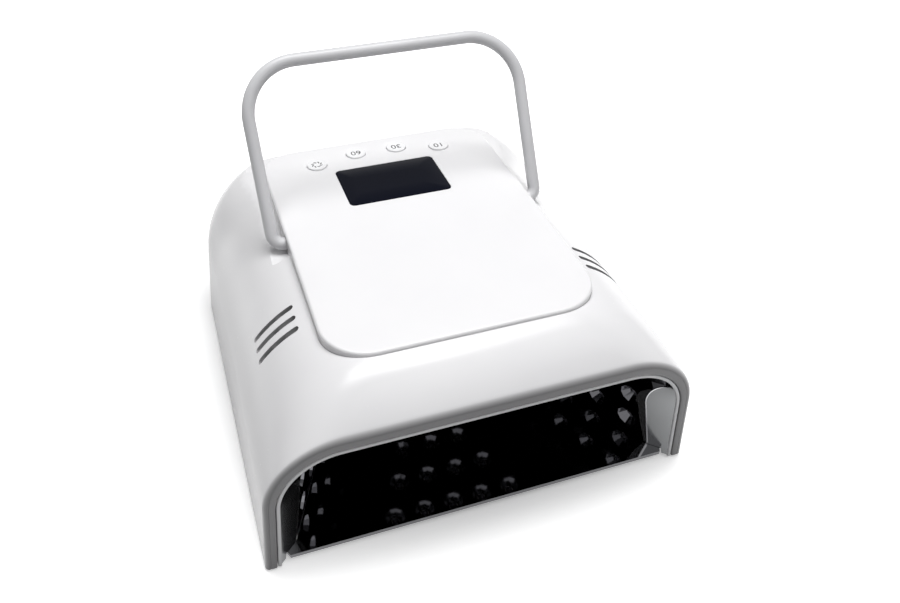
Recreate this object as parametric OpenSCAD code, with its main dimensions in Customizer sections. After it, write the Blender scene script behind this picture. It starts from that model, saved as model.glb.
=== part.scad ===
// Cordless curing lamp for nails: an arched case over a mirrored hand cavity, a raised control
// panel with a display and four push buttons, a fold-down bail handle and a pull-out floor tray.
// Everything is drawn in millimetres from the mouth backwards: y = 0 is the front face, z = 0 the
// underside of the case. in_place() then puts the origin under the middle, on the feet.

/* [Case] */
// Outer width of the case at its underside
case_w = 226.4; // [216:0.1:250]
// Depth of the case from the mouth to the rear wall
case_d = 226; // [222:0.5:250]
// Height of the roof where it meets the front face
rim_h = 80; // [76:0.5:86]
// Moulded wall of the case
case_wall = 2.6; // [2:0.1:3.2]
// Angle by which the walls of the mouth lean inwards
wall_lean = 5.3; // [3:0.1:7]
// Lean of the side walls halfway back
mid_lean = 8.1; // [6:0.1:9]
// Lean of the side walls at the rear
rear_lean = 6.6; // [5:0.1:8]
// Corner radius of the arch at the mouth
mouth_r = 38.5; // [34:0.5:42]
// Radius of the shoulders behind the front slope
shoulder_r = 62.5; // [58:0.5:66]
// Radius of the shoulders halfway back
mid_shoulder_r = 66; // [60:0.5:68]
// Radius of the shoulders at the rear
rear_shoulder_r = 50.5; // [46:0.5:56]
// Length over which the roof climbs from the rim to the panel
slope_run = 30; // [24:1:36]
// Radius of the rear corners as seen from above
rear_r = 27; // [22:1:30]
// Radius of the rear edge of the roof
rear_edge_r = 9; // [6:0.5:12]
// Radius on the front edge of the case
edge_r = 2.5; // [1.5:0.1:3]
// Thickness of the front wall behind the mouth
front_wall = 3.4; // [2.6:0.1:4.2]
// Height of the case above the surface it stands on
foot_h = 1.5; // [1:0.1:3]

/* [Control panel] */
// Width of the raised panel
panel_w = 136.6; // [132:0.2:140]
// Distance of the panel's front edge from the mouth
panel_front = 28.5; // [24:0.5:34]
// Distance of the panel's rear edge from the mouth
panel_rear = 214.3; // [211:0.1:217]
// Height of the panel at its front edge
panel_front_z = 99.3; // [97:0.1:103]
// Height of the panel at its rear edge
panel_rear_z = 93.9; // [92:0.1:96]
// Fall of the flat rear part, as a slope
panel_fall = 0.05; // [0.03:0.005:0.07]
// Distance from the mouth where the crowned front part ends
panel_bend = 135; // [110:1:137]
// Thickness of the panel
panel_t = 2.2; // [1.8:0.1:2.8]
// Corner radius at the panel's front
panel_front_r = 23; // [16:1:28]
// Corner radius at the panel's rear
panel_rear_r = 20; // [14:1:26]
// Height by which the roof around the panel laps its edge
panel_lap = 0.3; // [0.2:0.1:0.8]

/* [Display] */
// Width of the dark window
window_w = 58.4; // [50:0.2:64]
// Depth of the dark window
window_d = 39.5; // [32:0.5:42]
// Corner radius of the window
window_r = 3; // [1:0.5:6]
// Thickness of the window
window_t = 1.2; // [0.8:0.1:1.6]
// Distance of the window's centre from the mouth
window_y = 163.6; // [160:0.2:166]
// Rim of the panel that the window is glued on
window_land = 2.2; // [1.5:0.1:3]
// Thickness of the display module under the window
module_t = 6.9; // [6:0.1:8]

/* [Buttons] */
// Diameter of a button cap
button_dia = 11.6; // [10:0.1:13]
// Space between two neighbouring buttons
button_pitch = 25; // [22:0.5:28]
// Distance of the two middle buttons from the mouth
button_y = 199.7; // [198:0.1:201]
// How much further forward the two outer buttons sit
button_arc = 6.4; // [4:0.1:8]
// Height of a cap above the panel
button_proud = 0.9; // [0.7:0.1:1.4]
// Travel of a button
button_travel = 0.5; // [0.3:0.05:0.6]
// Gap around a cap in its hole
button_gap = 0.3; // [0.2:0.05:0.4]
// Thickness of the flange that holds a cap under the panel
button_flange_t = 0.8; // [0.6:0.1:1.2]

/* [Handle] */
// Diameter of the handle's bar
bar_dia = 6.8; // [6:0.1:8]
// Distance between the two legs, middle to middle
handle_w = 149.6; // [148:0.2:153]
// Length of a leg from the pivot to the middle of the crossbar
leg_len = 91.8; // [86:0.2:92]
// Bend radius between leg and crossbar
bend_r = 28; // [22:1:34]
// Bend radius between leg and pivot stub
elbow_r = 6; // [5:0.25:6.5]
// Distance of the pivot from the mouth
pivot_y = 130.7; // [128:0.1:131]
// Height of the pivot above the case's underside
pivot_z = 90.8; // [89:0.1:91]
// Lean of the resting handle behind the upright
handle_lean = 31.3; // [10:0.5:60]
// Radial clearance of the pivot stub in its bush
pivot_fit = 0.06; // [0.02:0.01:0.1]
// Wall of the nylon bush
bush_wall = 0.8; // [0.6:0.1:1]
// Space left around a folded leg in its channel
channel_gap = 1.3; // [1:0.1:2]

/* [Mouth] */
// Width of the trim ring at the sides
bezel_side = 3.1; // [2.4:0.1:4]
// Width of the trim ring over the mouth
bezel_top = 4.4; // [3:0.1:5]
// Width of the pale lip inside the trim ring
lip_t = 2.1; // [1.5:0.1:2.6]
// Shadow gap between the lip and the trim ring
lip_gap = 0.3; // [0.15:0.05:0.5]
// Thickness of the flange behind the trim ring
flange_t = 1.6; // [1.2:0.1:2.2]
// Height of the pale cheeks beside the hand opening
cheek_h = 52; // [40:1:58]

/* [Reflector] */
// Space beside the hand cavity, from the outside of the case to the cavity wall
cavity_side = 16.7; // [15:0.1:21]
// Distance from the mouth where the cheeks end
cheek_y = 9.6; // [9:0.1:12]
// Inward run of the thumb walls for each millimetre of depth
thumb_conv = 0.446; // [0.38:0.002:0.48]
// Space behind the cavity for the battery
battery_room = 58; // [56:1:64]
// Height of the cavity at the cheeks
cavity_h = 69.2; // [64:0.2:69.6]
// Fall of the ceiling for each millimetre of depth
ceiling_fall = 0.0755; // [0.06:0.0005:0.09]
// Wall of the reflector
reflector_wall = 2; // [1.5:0.1:2.4]

/* [Lamps] */
// Space between neighbouring lamps across the ceiling
lamp_pitch = 18; // [16:0.5:19]
// Distance from the mouth of the first row of ceiling lamps
lamp_row_y = 26; // [24:0.5:30]
// Outer diameter of a reflector cup
cup_dia = 12.4; // [10:0.1:13]
// Depth of a reflector cup
cup_depth = 5; // [4:0.1:6]
// Thickness of the lamp boards
lamp_board_t = 1.6; // [1:0.1:2]

/* [Base] */
// Thickness of the base frame
frame_t = 2.4; // [2:0.1:3]
// Thickness of the ledge that carries the tray
ledge_t = 1.6; // [1.4:0.1:2]
// Width of that ledge
ledge_w = 5; // [4:0.5:8]
// Thickness of the floor tray
tray_t = 2.4; // [2:0.1:3]
// Gap between the tray and what it slides on
tray_lift = 0.2; // [0.1:0.05:0.4]
// Gap at the edges of the tray
tray_gap = 0.4; // [0.3:0.05:0.8]
// Distance of the tray's front edge from the mouth
tray_front = 2; // [1:0.1:3]
// Diameter of a foot
foot_dia = 12; // [9:0.5:13]
// Diameter of a holding magnet
magnet_dia = 5; // [4:0.1:5.5]
// Thickness of a holding magnet
magnet_t = 1.2; // [0.8:0.1:1.3]

/* [Power] */
// Diameter of a battery cell
cell_dia = 18.4; // [18:0.1:18.8]
// Length of a battery cell
cell_len = 65.2; // [64.5:0.1:66]
// Thickness of the battery tray's floor
cradle_t = 2; // [1.5:0.1:3]
// Outer diameter of the power socket
jack_dia = 8.2; // [7.5:0.1:9]
// Bore of the power socket
jack_bore = 5.5; // [5:0.1:6.4]
// Height of the power socket above the case's underside
jack_z = 17; // [14:0.5:22]
// Distance of the power socket from the outside of the case
jack_side = 38.2; // [36:0.1:41]
// Thickness of the circuit boards
board_t = 1.6; // [1:0.1:2]

/* [Hidden] */

$fn = 48;
eps = 0.01;

// Colours as the finished lamp shows them
white = "#f2f1f3";
band_grey = "#77767a";
lip_grey = "#c9c9cc";
mirror_black = "#17181c";
dark_glass = "#1b1d27";
satin_silver = "#c2c3c7";
steel = "#9fa2a6";
board_green = "#2f6b46";
board_white = "#e4e6e2";
soft_black = "#26272a";

// Arc steps of a lofted corner, outside and inside
arc_steps = 14;
inner_steps = 8;

// The outer half width of the case, and the same on the inside of its wall
half_w = case_w / 2;
jack_x = half_w - jack_side;

// Cavity: its half width behind the cheeks, where it closes at the back, and where the thumb
// walls end
cavity_half = half_w - cavity_side;
back_run = 28;
finger_y = case_d - battery_room - back_run;
thumb_y = finger_y * 4 / 7;
lamp_row_pitch = (finger_y - 4 - lamp_row_y) / 5;

// Panel surface: flat and falling behind panel_bend, crowned in front of it
crown_k = (panel_rear_z + panel_fall * (panel_rear - panel_front) - panel_front_z)
    / pow(panel_bend - panel_front, 2);
function panel_z(y) = panel_rear_z + panel_fall * (panel_rear - y)
    - (y < panel_bend ? crown_k * pow(panel_bend - y, 2) : 0);
function seat_z(y) = panel_z(y) - panel_t;
panel_tilt = atan(panel_fall);

// Roof line and shoulder radius of the case along its depth
crest_z = seat_z(slope_run) + panel_lap;
function climb(y) = y < slope_run ? sin(90 * y / slope_run) : 1;
function roof_z(y) = y < slope_run ? rim_h + (crest_z - rim_h) * climb(y) : seat_z(y) + panel_lap;
function shoulder(y) = y < slope_run ? mouth_r + (shoulder_r - mouth_r) * climb(y)
    : lookup(y, [[70, shoulder_r], [110, mid_shoulder_r], [180, mid_shoulder_r],
        [215, rear_shoulder_r]]);
function lean(y) = lookup(y, [[slope_run, wall_lean], [110, mid_lean], [180, mid_lean],
    [215, rear_lean]]);

// Inset of a rounded end: 0 where the arc starts, r at its far end
function rounded(r, run) = r - sqrt(max(0, r * r - run * run));

// Centre of the corner arc of an arch whose walls lean by l: [x, z]
function arch_centre(w, h, r, l = wall_lean) = [
    (w * cos(l) - r - (h - r) * sin(l)) / cos(l),
    h - r];

// Points of an arch in the plane y, from the lower right corner over the top to the lower left
function arch_ring(w, h, r, base, y, steps, l = wall_lean) =
    let (c = arch_centre(w, h, r, l),
        foot = w - base * tan(l),
        arc = [for (i = [0:steps]) let (a = l + (90 - l) * i / steps)
            [c[0] + r * cos(a), c[1] + r * sin(a)]])
    concat([[foot, y, base]], [for (p = arc) [p[0], y, p[1]]],
        [for (i = [steps:-1:0]) [-arc[i][0], y, arc[i][1]]], [[-foot, y, base]]);

// Closed solid through a row of arches that all have the same number of points
module loft(rings) {
    n = len(rings[0]);
    last = len(rings) - 1;
    points = [for (ring = rings) for (p = ring) p];
    sides = [for (j = [0:last - 1]) for (i = [0:n - 1])
        let (a = j * n + i, b = j * n + (i + 1) % n)
        for (f = [[a, b, b + n], [a, b + n, a + n]]) f];
    polyhedron(points, concat([[for (i = [n - 1:-1:0]) i]], sides,
        [[for (i = [0:n - 1]) last * n + i]]), convexity = 8);
}

// Flat arch with true arcs, drawn in x and z, standing on z = base
module arch_2d(w, h, r, base = 0) {
    c = arch_centre(w, h, r);
    t = [c[0] + r * cos(wall_lean), c[1] + r * sin(wall_lean)];
    foot = w - base * tan(wall_lean);
    intersection() {
        for (s = [-1, 1]) translate([s * c[0], c[1]]) circle(r, $fn = 96);
        translate([-w, c[1] - 1]) square([2 * w, r + 2]);
    }
    polygon([[-foot, base], [foot, base], t, [c[0], c[1]], [-c[0], c[1]], [-t[0], t[1]]]);
    translate([-c[0], c[1] - 1]) square([2 * c[0], r + 1]);
}

// Arch-shaped plate or ring between two depths
module arch_slab(y0, y1) {
    translate([0, y1, 0]) rotate([90, 0, 0]) linear_extrude(y1 - y0) children();
}

// Everything is drawn from the mouth; this puts the origin under the middle of the case
module in_place() {
    translate([0, -case_d / 2, foot_h]) children();
}

module both_sides() {
    children();
    mirror([1, 0, 0]) children();
}

// Rectangle from y0 to y1 with one corner radius in front and one behind
module slab_outline(half, y0, y1, rf, rr) {
    translate([-half, y0 + rf]) square([2 * half, y1 - y0 - rf - rr]);
    translate([-half + rf, y0]) square([2 * (half - rf), rf + 1]);
    translate([-half + rr, y1 - rr - 1]) square([2 * (half - rr), rr + 1]);
    for (s = [-1, 1]) {
        translate([s * (half - rf), y0 + rf]) circle(rf, $fn = 64);
        translate([s * (half - rr), y1 - rr]) circle(rr, $fn = 64);
    }
}

module panel_outline(grow = 0) {
    slab_outline(panel_w / 2 + grow, panel_front - grow, panel_rear + grow,
        panel_front_r + grow, panel_rear_r + grow);
}

// Rectangle around the middle with one corner radius
module tile(w, d, r) {
    square([w - 2 * r, d], center = true);
    square([w, d - 2 * r], center = true);
    for (x = [-1, 1], y = [-1, 1]) translate([x * (w / 2 - r), y * (d / 2 - r)]) circle(r);
}

// Slab under or over the panel's curve, between two offsets from its upper surface
module panel_band(below, above) {
    ys = [for (i = [0:12]) panel_front - 2 + (panel_rear - panel_front + 4) * i / 12];
    rotate([90, 0, 90]) translate([0, 0, -case_w / 2]) linear_extrude(case_w)
        polygon(concat([for (y = ys) [y, panel_z(y) + below]],
            [for (i = [len(ys) - 1:-1:0]) [ys[i], panel_z(ys[i]) + above]]));
}

// Frame of the flat display area: z = 0 is the panel's surface, y = 0 the window's centre
module display_frame() {
    translate([0, window_y, panel_z(window_y)]) rotate([-panel_tilt, 0, 0]) children();
}

// Places of the four buttons in that frame, from left to right
function button_at(i) = [(i - 1.5) * button_pitch,
    button_y - window_y - (i == 0 || i == 3 ? button_arc : 0)];

// Case
rear_centre = case_d - rear_r;
outer_ys = concat([0, 0.35, 1, 1.8], [edge_r, 5, 8.5, 12, 16, 20, 25], [slope_run, 42, 56, 70, 90],
    [110, panel_bend, 158, 180], [for (a = [0, 14, 28, 42, 54, 64, 73, 82, 90])
        rear_centre + rear_r * sin(a)]);
inner_ys = concat([front_wall, 7, 11, 16, 22], [slope_run, 70, 110, panel_bend, 180],
    [for (a = [0, 20, 40, 55, 68, 79, 90]) rear_centre + (rear_r - case_wall) * sin(a)]);

// Insets of the walls and of the roof at both ends
function front_inset(y, wall) = y < edge_r && wall == 0 ? rounded(edge_r, edge_r - y) : 0;
function side_inset(y, wall) = wall + front_inset(y, wall)
    + rounded(rear_r - wall, max(0, y - rear_centre));
function roof_inset(y, wall) = wall + front_inset(y, wall)
    + rounded(rear_edge_r - wall, max(0, y - case_d + rear_edge_r));
function case_ring(y, wall, base, steps) =
    let (s = side_inset(y, wall), t = roof_inset(y, wall))
    arch_ring(half_w - s / cos(lean(y)), roof_z(y) - t, shoulder(y) - (s + t) / 2, base, y, steps,
        lean(y));

// Edge of the mouth opening in the front wall
bezel_w = half_w - edge_r - 0.3;
bezel_h = rim_h - edge_r + 0.1;
bezel_r = mouth_r - edge_r - 0.2;
mouth_clear = 0.1;

// Channels for the folded legs, cut down beside the panel
channel_z = pivot_z - bar_dia / 2 - channel_gap;
channel_x = handle_w / 2 + bar_dia / 2 + channel_gap + 0.4;
channel_y = pivot_y - 11.7;
module channel_shape(grow) {
    difference() {
        union() {
            translate([-channel_x - grow, channel_y + 6]) square([2 * (channel_x + grow), case_d]);
            for (s = [-1, 1]) translate([s * (channel_x - 6), channel_y + 6]) circle(6 + grow);
        }
        panel_outline(-grow);
    }
}
module channels(grow = 0) {
    translate([0, 0, channel_z - grow]) linear_extrude(30) channel_shape(grow);
}

// Screws that hold the base frame, and the bosses they enter
boss_dia = 7.5;
boss_h = 20;
screw_dia = 3;
pilot_dia = 2.5;
base_screw_at = [[half_w - 12, 40], [half_w - 12, 112], [half_w - 16, 178],
    [half_w - 24, case_d - 13]];
module base_bosses() {
    both_sides() for (p = base_screw_at) {
        translate([p[0], p[1], frame_t]) cylinder(d = boss_dia, h = boss_h);
        if (p[1] < rear_centre)
            translate([0, p[1] + 1, frame_t]) rotate([90, 0, 0]) linear_extrude(2)
                polygon([[p[0], 0], [half_w - 1.4, 0],
                    [half_w - 1.4 - boss_h * tan(lean(p[1])), boss_h], [p[0], boss_h]]);
        else
            translate([p[0] - 1, p[1], frame_t]) cube([2, case_d - p[1] - 2.2, boss_h]);
    }
}

// Posts for the main board, hanging from the roof
main_board_z = 80;
main_w = 104;
main_y0 = 62;
main_y1 = 128;
main_post_at = [[main_w / 2 - 6, main_y0 + 6], [main_w / 2 - 6, main_y1 - 14]];
module roof_posts() {
    both_sides() for (p = main_post_at)
        translate([p[0], p[1], main_board_z + board_t])
            cylinder(d = 7, h = seat_z(p[1]) - 1 - main_board_z - board_t);
}

// Pivot bosses behind the plateau walls
boss_in = panel_w / 2 - case_wall - 6;
bush_dia = bar_dia + 2 * pivot_fit + 2 * bush_wall;
module pivot_bosses() {
    both_sides() translate([boss_in, pivot_y, pivot_z]) rotate([0, 90, 0])
        cylinder(d = bush_dia + 4.4, h = panel_w / 2 - boss_in - 1);
}

// Slot through a shoulder: three on each side, across the curve of the wall
vent_w = 2.6;
vent_ys = [64.8, 72.8, 80.9];
vent_top = [half_w - 38.2, 90.6];
vent_end = [half_w - 17.2, 72.6];
vent_len = norm(vent_end - vent_top);
vent_turn = atan2(vent_top[1] - vent_end[1], vent_end[0] - vent_top[0]);
module vent_slots() {
    both_sides() for (y = vent_ys)
        translate([(vent_top[0] + vent_end[0]) / 2, y, (vent_top[1] + vent_end[1]) / 2])
            rotate([0, vent_turn, 0]) translate([0, 0, -8]) linear_extrude(20) {
                square([vent_len - vent_w, vent_w], center = true);
                for (s = [-1, 1]) translate([s * (vent_len - vent_w) / 2, 0]) circle(d = vent_w);
            }
}

// Opening in the roof under the display and the buttons
bay_half = 52;
bay_y0 = 139;
bay_y1 = panel_rear - case_wall - 2.6;

panel_screw_at = [[56, 48], [56, 106], [59, 190]];

module upper_housing() {
    color(white) in_place() difference() {
        union() {
            difference() {
                union() {
                    loft([for (y = outer_ys) case_ring(y, 0, 0, arc_steps)]);
                    translate([0, 0, main_board_z]) linear_extrude(30) panel_outline();
                }
                difference() {
                    union() {
                        loft([for (y = inner_ys) case_ring(y, case_wall, -1, inner_steps)]);
                        intersection() {
                            translate([0, 0, main_board_z - 8]) linear_extrude(40)
                                panel_outline(-case_wall);
                            panel_band(-40, -panel_t - case_wall);
                        }
                    }
                    channels(case_wall);
                }
            }
            base_bosses();
            roof_posts();
            pivot_bosses();
        }
        // Seat of the panel
        intersection() {
            translate([0, 0, main_board_z - 8]) linear_extrude(60) panel_outline(0.15);
            panel_band(-panel_t, 30);
        }
        channels();
        // Mouth
        arch_slab(-1, front_wall + 0.5)
            arch_2d(bezel_w + mouth_clear, bezel_h + mouth_clear, bezel_r + mouth_clear, -1);
        // Bay under the display
        translate([-bay_half, bay_y0, main_board_z]) cube([2 * bay_half, bay_y1 - bay_y0, 40]);
        vent_slots();
        // Bores of the pivots
        both_sides() translate([boss_in - 1, pivot_y, pivot_z]) rotate([0, 90, 0])
            cylinder(d = bush_dia + 0.1, h = 20);
        // Pockets in the deck for the stubs and their clips
        both_sides() translate([stub_in - 0.6, pivot_y, pivot_z]) rotate([0, 90, 0])
            cylinder(d = bush_dia + 2.2, h = boss_in - stub_in + 0.6);
        // Hole of the power socket
        translate([jack_x, case_d + 1, jack_z]) rotate([90, 0, 0])
            cylinder(d = jack_dia + 0.3, h = 6);
        // Pilot holes
        both_sides() for (p = base_screw_at)
            translate([p[0], p[1], 0]) cylinder(d = pilot_dia, h = frame_t + 14);
        both_sides() for (p = main_post_at)
            translate([p[0], p[1], main_board_z]) cylinder(d = 2, h = board_t + 8);
        both_sides() for (p = panel_screw_at)
            translate([p[0], p[1], main_board_z]) cylinder(d = 5.4, h = 30);
    }
}

// Control panel
window_floor = window_t;
switch_h = 4.3;
board_drop = panel_t + 7;
board_post_at = [[46, -20.5], [46, 42]];

module control_panel() {
    color(white) in_place() difference() {
        union() {
            intersection() {
                translate([0, 0, main_board_z]) linear_extrude(40) panel_outline();
                panel_band(-panel_t, 0);
            }
            both_sides() for (p = panel_screw_at)
                translate([p[0], p[1], seat_z(p[1]) - case_wall + 0.2]) cylinder(d = 5, h = 3.6);
            display_frame() both_sides() for (p = board_post_at)
                translate([p[0], p[1], -board_drop]) cylinder(d = 5, h = board_drop - 1);
        }
        display_frame() {
            translate([0, 0, -window_floor]) linear_extrude(5)
                tile(window_w + 0.3, window_d + 0.3, window_r + 0.15);
            translate([0, 0, -8]) linear_extrude(10)
                tile(window_w - 2 * window_land, window_d - 2 * window_land, window_r);
            for (i = [0:3]) translate([button_at(i)[0], button_at(i)[1], -8])
                cylinder(d = button_dia + 2 * button_gap, h = 12);
            both_sides() for (p = board_post_at)
                translate([p[0], p[1], -board_drop - 1]) cylinder(d = 1.8, h = 8);
        }
        both_sides() for (p = panel_screw_at)
            translate([p[0], p[1], seat_z(p[1]) - 5]) cylinder(d = 2, h = 6);
    }
}

module display_window() {
    color(dark_glass) in_place() display_frame() translate([0, 0, -window_t])
        linear_extrude(window_t) tile(window_w, window_d, window_r);
}

module display_module() {
    color(soft_black) in_place() display_frame() translate([0, 0, -board_drop]) {
        linear_extrude(module_t) tile(window_w - 1.4, window_d - 1.5, 1);
        translate([0, 0, module_t - eps]) linear_extrude(panel_t - window_t + 0.1 - 0.05)
            tile(window_w - 2 * window_land - 0.6, window_d - 2 * window_land - 0.6, window_r);
    }
}

module display_board() {
    color(board_green) in_place() display_frame() difference() {
        translate([-50, -26, -board_drop - board_t]) cube([100, 73, board_t]);
        both_sides() for (p = board_post_at)
            translate([p[0], p[1], -board_drop - 4]) cylinder(d = 2.4, h = 8);
    }
}

// Tact switches, one under each button
module tact_switches() {
    color(soft_black) in_place() display_frame() for (i = [0:3])
        translate([button_at(i)[0], button_at(i)[1], -board_drop]) difference() {
            translate([-3, -3, 0]) cube([6, 6, switch_h]);
            translate([0, 0, switch_h - 2.4]) cylinder(d = 3.8, h = 4);
        }
}

// Cap with a shallow dish, held under the panel by its flange
module button(i) {
    color(white) in_place() display_frame() translate([button_at(i)[0], button_at(i)[1], 0])
        difference() {
            union() {
                translate([0, 0, -panel_t - button_flange_t + eps])
                    cylinder(d = button_dia, h = panel_t + button_flange_t + button_proud - 0.4);
                translate([0, 0, button_proud - 0.4 - eps])
                    cylinder(d1 = button_dia, d2 = button_dia - 0.8, h = 0.4 + eps);
                translate([0, 0, -panel_t - button_flange_t])
                    cylinder(d = button_dia + 2, h = button_flange_t);
            }
            translate([0, 0, 60 + button_proud - 0.25]) sphere(r = 60, $fn = 160);
        }
}

// Stem between a cap and its switch
module plunger(i) {
    top = -panel_t - button_flange_t;
    bottom = -board_drop + switch_h - 1.3;
    color(soft_black) in_place() display_frame()
        translate([button_at(i)[0], button_at(i)[1], bottom]) cylinder(d = 3.4, h = top - bottom);
}

// Mouth
lip_w = bezel_w - bezel_side - lip_gap / 2;
lip_h = bezel_h - bezel_top - lip_gap / 2;
lip_r = bezel_r - bezel_side;

module front_bezel() {
    color(band_grey) in_place() arch_slab(0, front_wall) difference() {
        arch_2d(bezel_w, bezel_h, bezel_r);
        arch_2d(bezel_w - bezel_side, bezel_h - bezel_top, lip_r + 0.2, -1);
    }
}

// The flange behind the ring laps the front wall of the case and carries the reflector
flange_y = front_wall + flange_t;
flange_w = half_w - case_wall - 0.5;
flange_h = roof_z(front_wall) - case_wall - 0.7;
flange_r = shoulder(flange_y) - case_wall;
lip_in_w = lip_w - lip_t;
lip_in_h = lip_h - lip_t;
lip_in_r = lip_r - lip_t;

// The cheeks turn in from the lip to the thumb walls. Their front edge leans more than the lip,
// and their top follows an arc.
cheek_turn = 47.8;
edge_lean = 0.19;
edge_rake = 0.088;
cheek_arc_r = 20.3;
function foot_x(z) = -z * tan(wall_lean);
function cheek_slice(z) = [for (p = [
    [lip_in_w + 0.6 + foot_x(z), 0.7], [cavity_half - 0.4 - edge_lean * z, 8 + edge_rake * z],
    [thumb_w(17) - 0.8 + foot_x(z), 17], [thumb_w(17) - tray_gap + foot_x(z), 17],
    [cavity_half - tray_gap + foot_x(z), cheek_y], [funnel_w - tray_gap + foot_x(z), flange_y],
    [lip_in_w + 0.6 + foot_x(z), flange_y]]) [p[0], p[1], z]];
module cheek() {
    low = tray_z + tray_t + 0.3;
    intersection() {
        loft([cheek_slice(low), cheek_slice(cheek_h + 8)]);
        translate([lip_in_w, 0, 0]) rotate([0, 0, cheek_turn]) rotate([90, 0, 90])
            translate([0, 0, -15]) linear_extrude(30) {
                translate([2.8, cheek_h - 12.5]) circle(cheek_arc_r, $fn = 64);
                translate([-20, 0]) square([2.8 + cheek_arc_r + 20, cheek_h - 12.5]);
            }
        union() {
            arch_slab(0.6, flange_y) arch_2d(lip_w - 0.5, lip_h - 0.5, lip_r - 0.5, -1);
            cavity_solid(-tray_gap, -5);
        }
    }
}

module mouth_collar() {
    color(lip_grey) in_place() {
        arch_slab(0.4, flange_y) difference() {
            arch_2d(lip_w, lip_h, lip_r);
            arch_2d(lip_in_w, lip_in_h, lip_in_r, -1);
        }
        arch_slab(front_wall, flange_y) difference() {
            arch_2d(flange_w, flange_h, flange_r);
            arch_2d(lip_w - 1, lip_h - 1, lip_r - 1, -1);
        }
        both_sides() cheek();
    }
}

// Reflector: funnel, thumb walls, finger walls and a rounded back
funnel_w = lip_in_w - 2.4;
function thumb_w(y) = cavity_half - thumb_conv * (y - cheek_y);
function ceiling_z(y) = cavity_h - ceiling_fall * (y - cheek_y);
finger_w = thumb_w(thumb_y) - 8.9;
// Rows of [depth, half width, height, corner radius], grown outwards by t
function cavity_rows(t) = concat(
    [[flange_y, funnel_w + t, lip_in_h - 0.3 + t, lip_in_r - 1 + t]],
    [[cheek_y, cavity_half + 1.1 * t, cavity_h + t, 26 + t]],
    [[thumb_y, thumb_w(thumb_y) + 1.1 * t, ceiling_z(thumb_y) + t, 24 + t]],
    [for (a = [0:18:90]) let (s = sin(a), c = 1 - cos(a))
        [finger_y + (back_run + t) * s, finger_w + t - 26 * c,
            ceiling_z(finger_y + back_run * s) + t - 10 * c, 22 + t - 4 * c]]);
module cavity_solid(t, base) {
    loft([for (q = cavity_rows(t)) arch_ring(q[1], q[2], q[3], base, q[0], inner_steps)]);
}

// Frame on the ceiling: z points out of the cavity; y runs back from the front row
ceiling_tilt = atan(ceiling_fall);
module ceiling_frame() {
    translate([0, lamp_row_y, ceiling_z(lamp_row_y)]) rotate([-ceiling_tilt, 0, 0]) children();
}
ceiling_rows = [6, 5, 4, 3, 3, 2];
ceiling_lamps = [for (j = [0:len(ceiling_rows) - 1]) for (i = [0:ceiling_rows[j] - 1])
    [(i - (ceiling_rows[j] - 1) / 2) * lamp_pitch, j * lamp_row_pitch]];

// Frame on a thumb wall: x points out of the cavity, y runs back, z up the wall
thumb_turn = atan(thumb_conv);
module thumb_frame() {
    translate([cavity_half, cheek_y, 0]) rotate([0, 0, thumb_turn])
        rotate([0, -atan(tan(wall_lean) * cos(thumb_turn)), 0]) children();
}
thumb_lamps = [for (j = [0:2]) for (i = [0:1]) [15 + 20 * j, 14 + 19 * i]];
module lamp_places() {
    ceiling_frame() for (p = ceiling_lamps) translate([p[0], p[1], 0]) children();
    both_sides() thumb_frame() for (p = thumb_lamps)
        translate([0, p[0], p[1]]) rotate([0, 90, 0]) children();
}

ceiling_post_at = [[31.5, lamp_row_pitch / 2], [13.5, 3.5 * lamp_row_pitch]];
thumb_post_at = [[25, 23.5], [45, 23.5]];
module board_posts(d, from, to) {
    ceiling_frame() both_sides() for (p = ceiling_post_at)
        translate([p[0], p[1], from]) cylinder(d = d, h = to - from);
    both_sides() thumb_frame() for (p = thumb_post_at)
        translate([from, p[0], p[1]]) rotate([0, 90, 0]) cylinder(d = d, h = to - from);
}

module reflector() {
    color(mirror_black) in_place() difference() {
        union() {
            intersection() {
                cavity_solid(reflector_wall, frame_t);
                translate([-case_w, flange_y, 0]) cube([2 * case_w, case_d, 200]);
            }
            arch_slab(flange_y, flange_y + 1.4) arch_2d(flange_w - 0.3, flange_h - 0.3, flange_r,
                frame_t + 0.4);
            board_posts(5, 1, cup_depth);
        }
        translate([0, -eps, 0]) cavity_solid(0, -5);
        lamp_places() translate([0, 0, -2]) cylinder(d = cup_dia + 0.2, h = cup_depth + 2);
        board_posts(1.6, reflector_wall + 0.2, cup_depth + 1);
        ceiling_frame() translate([-5.2, -lamp_row_y + 11.5, -2]) cube([10.4, 5.4, 8]);
    }
}

// Faceted cup: ten facets from the mouth down to the lamp, flange behind the reflector wall
module cup() {
    difference() {
        union() {
            cylinder(d = cup_dia, h = cup_depth);
            translate([0, 0, reflector_wall + 0.1]) cylinder(d = cup_dia + 1.6, h = 0.8);
        }
        translate([0, 0, -eps]) cylinder(d1 = cup_dia - 0.8, d2 = 5.4, h = 4.2, $fn = 10);
        cylinder(d = 5.2, h = cup_depth + 1);
    }
}
module reflector_cups() {
    color(steel) in_place() lamp_places() cup();
}

// Lamp chip with its lens, soldered to the board behind the cup
module uv_leds() {
    color("#d9d2ee") in_place() lamp_places() translate([0, 0, cup_depth]) rotate([180, 0, 0]) {
        translate([-1.75, -1.75, 0]) cube([3.5, 3.5, 0.7]);
        translate([0, 0, 0.6]) intersection() {
            sphere(d = 3.2, $fn = 20);
            cylinder(d = 4, h = 2);
        }
    }
}

module top_led_board() {
    back = lamp_row_pitch * (len(ceiling_rows) - 1) + 8;
    mid = 2.73 * lamp_row_pitch;
    color(board_white) in_place() ceiling_frame() translate([0, 0, cup_depth]) difference() {
        linear_extrude(lamp_board_t) polygon([[-54, -12], [54, -12], [30, mid], [24, back],
            [-24, back], [-30, mid]]);
        both_sides() for (p = ceiling_post_at)
            translate([p[0], p[1], -1]) cylinder(d = 2.2, h = 4);
    }
}

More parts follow.
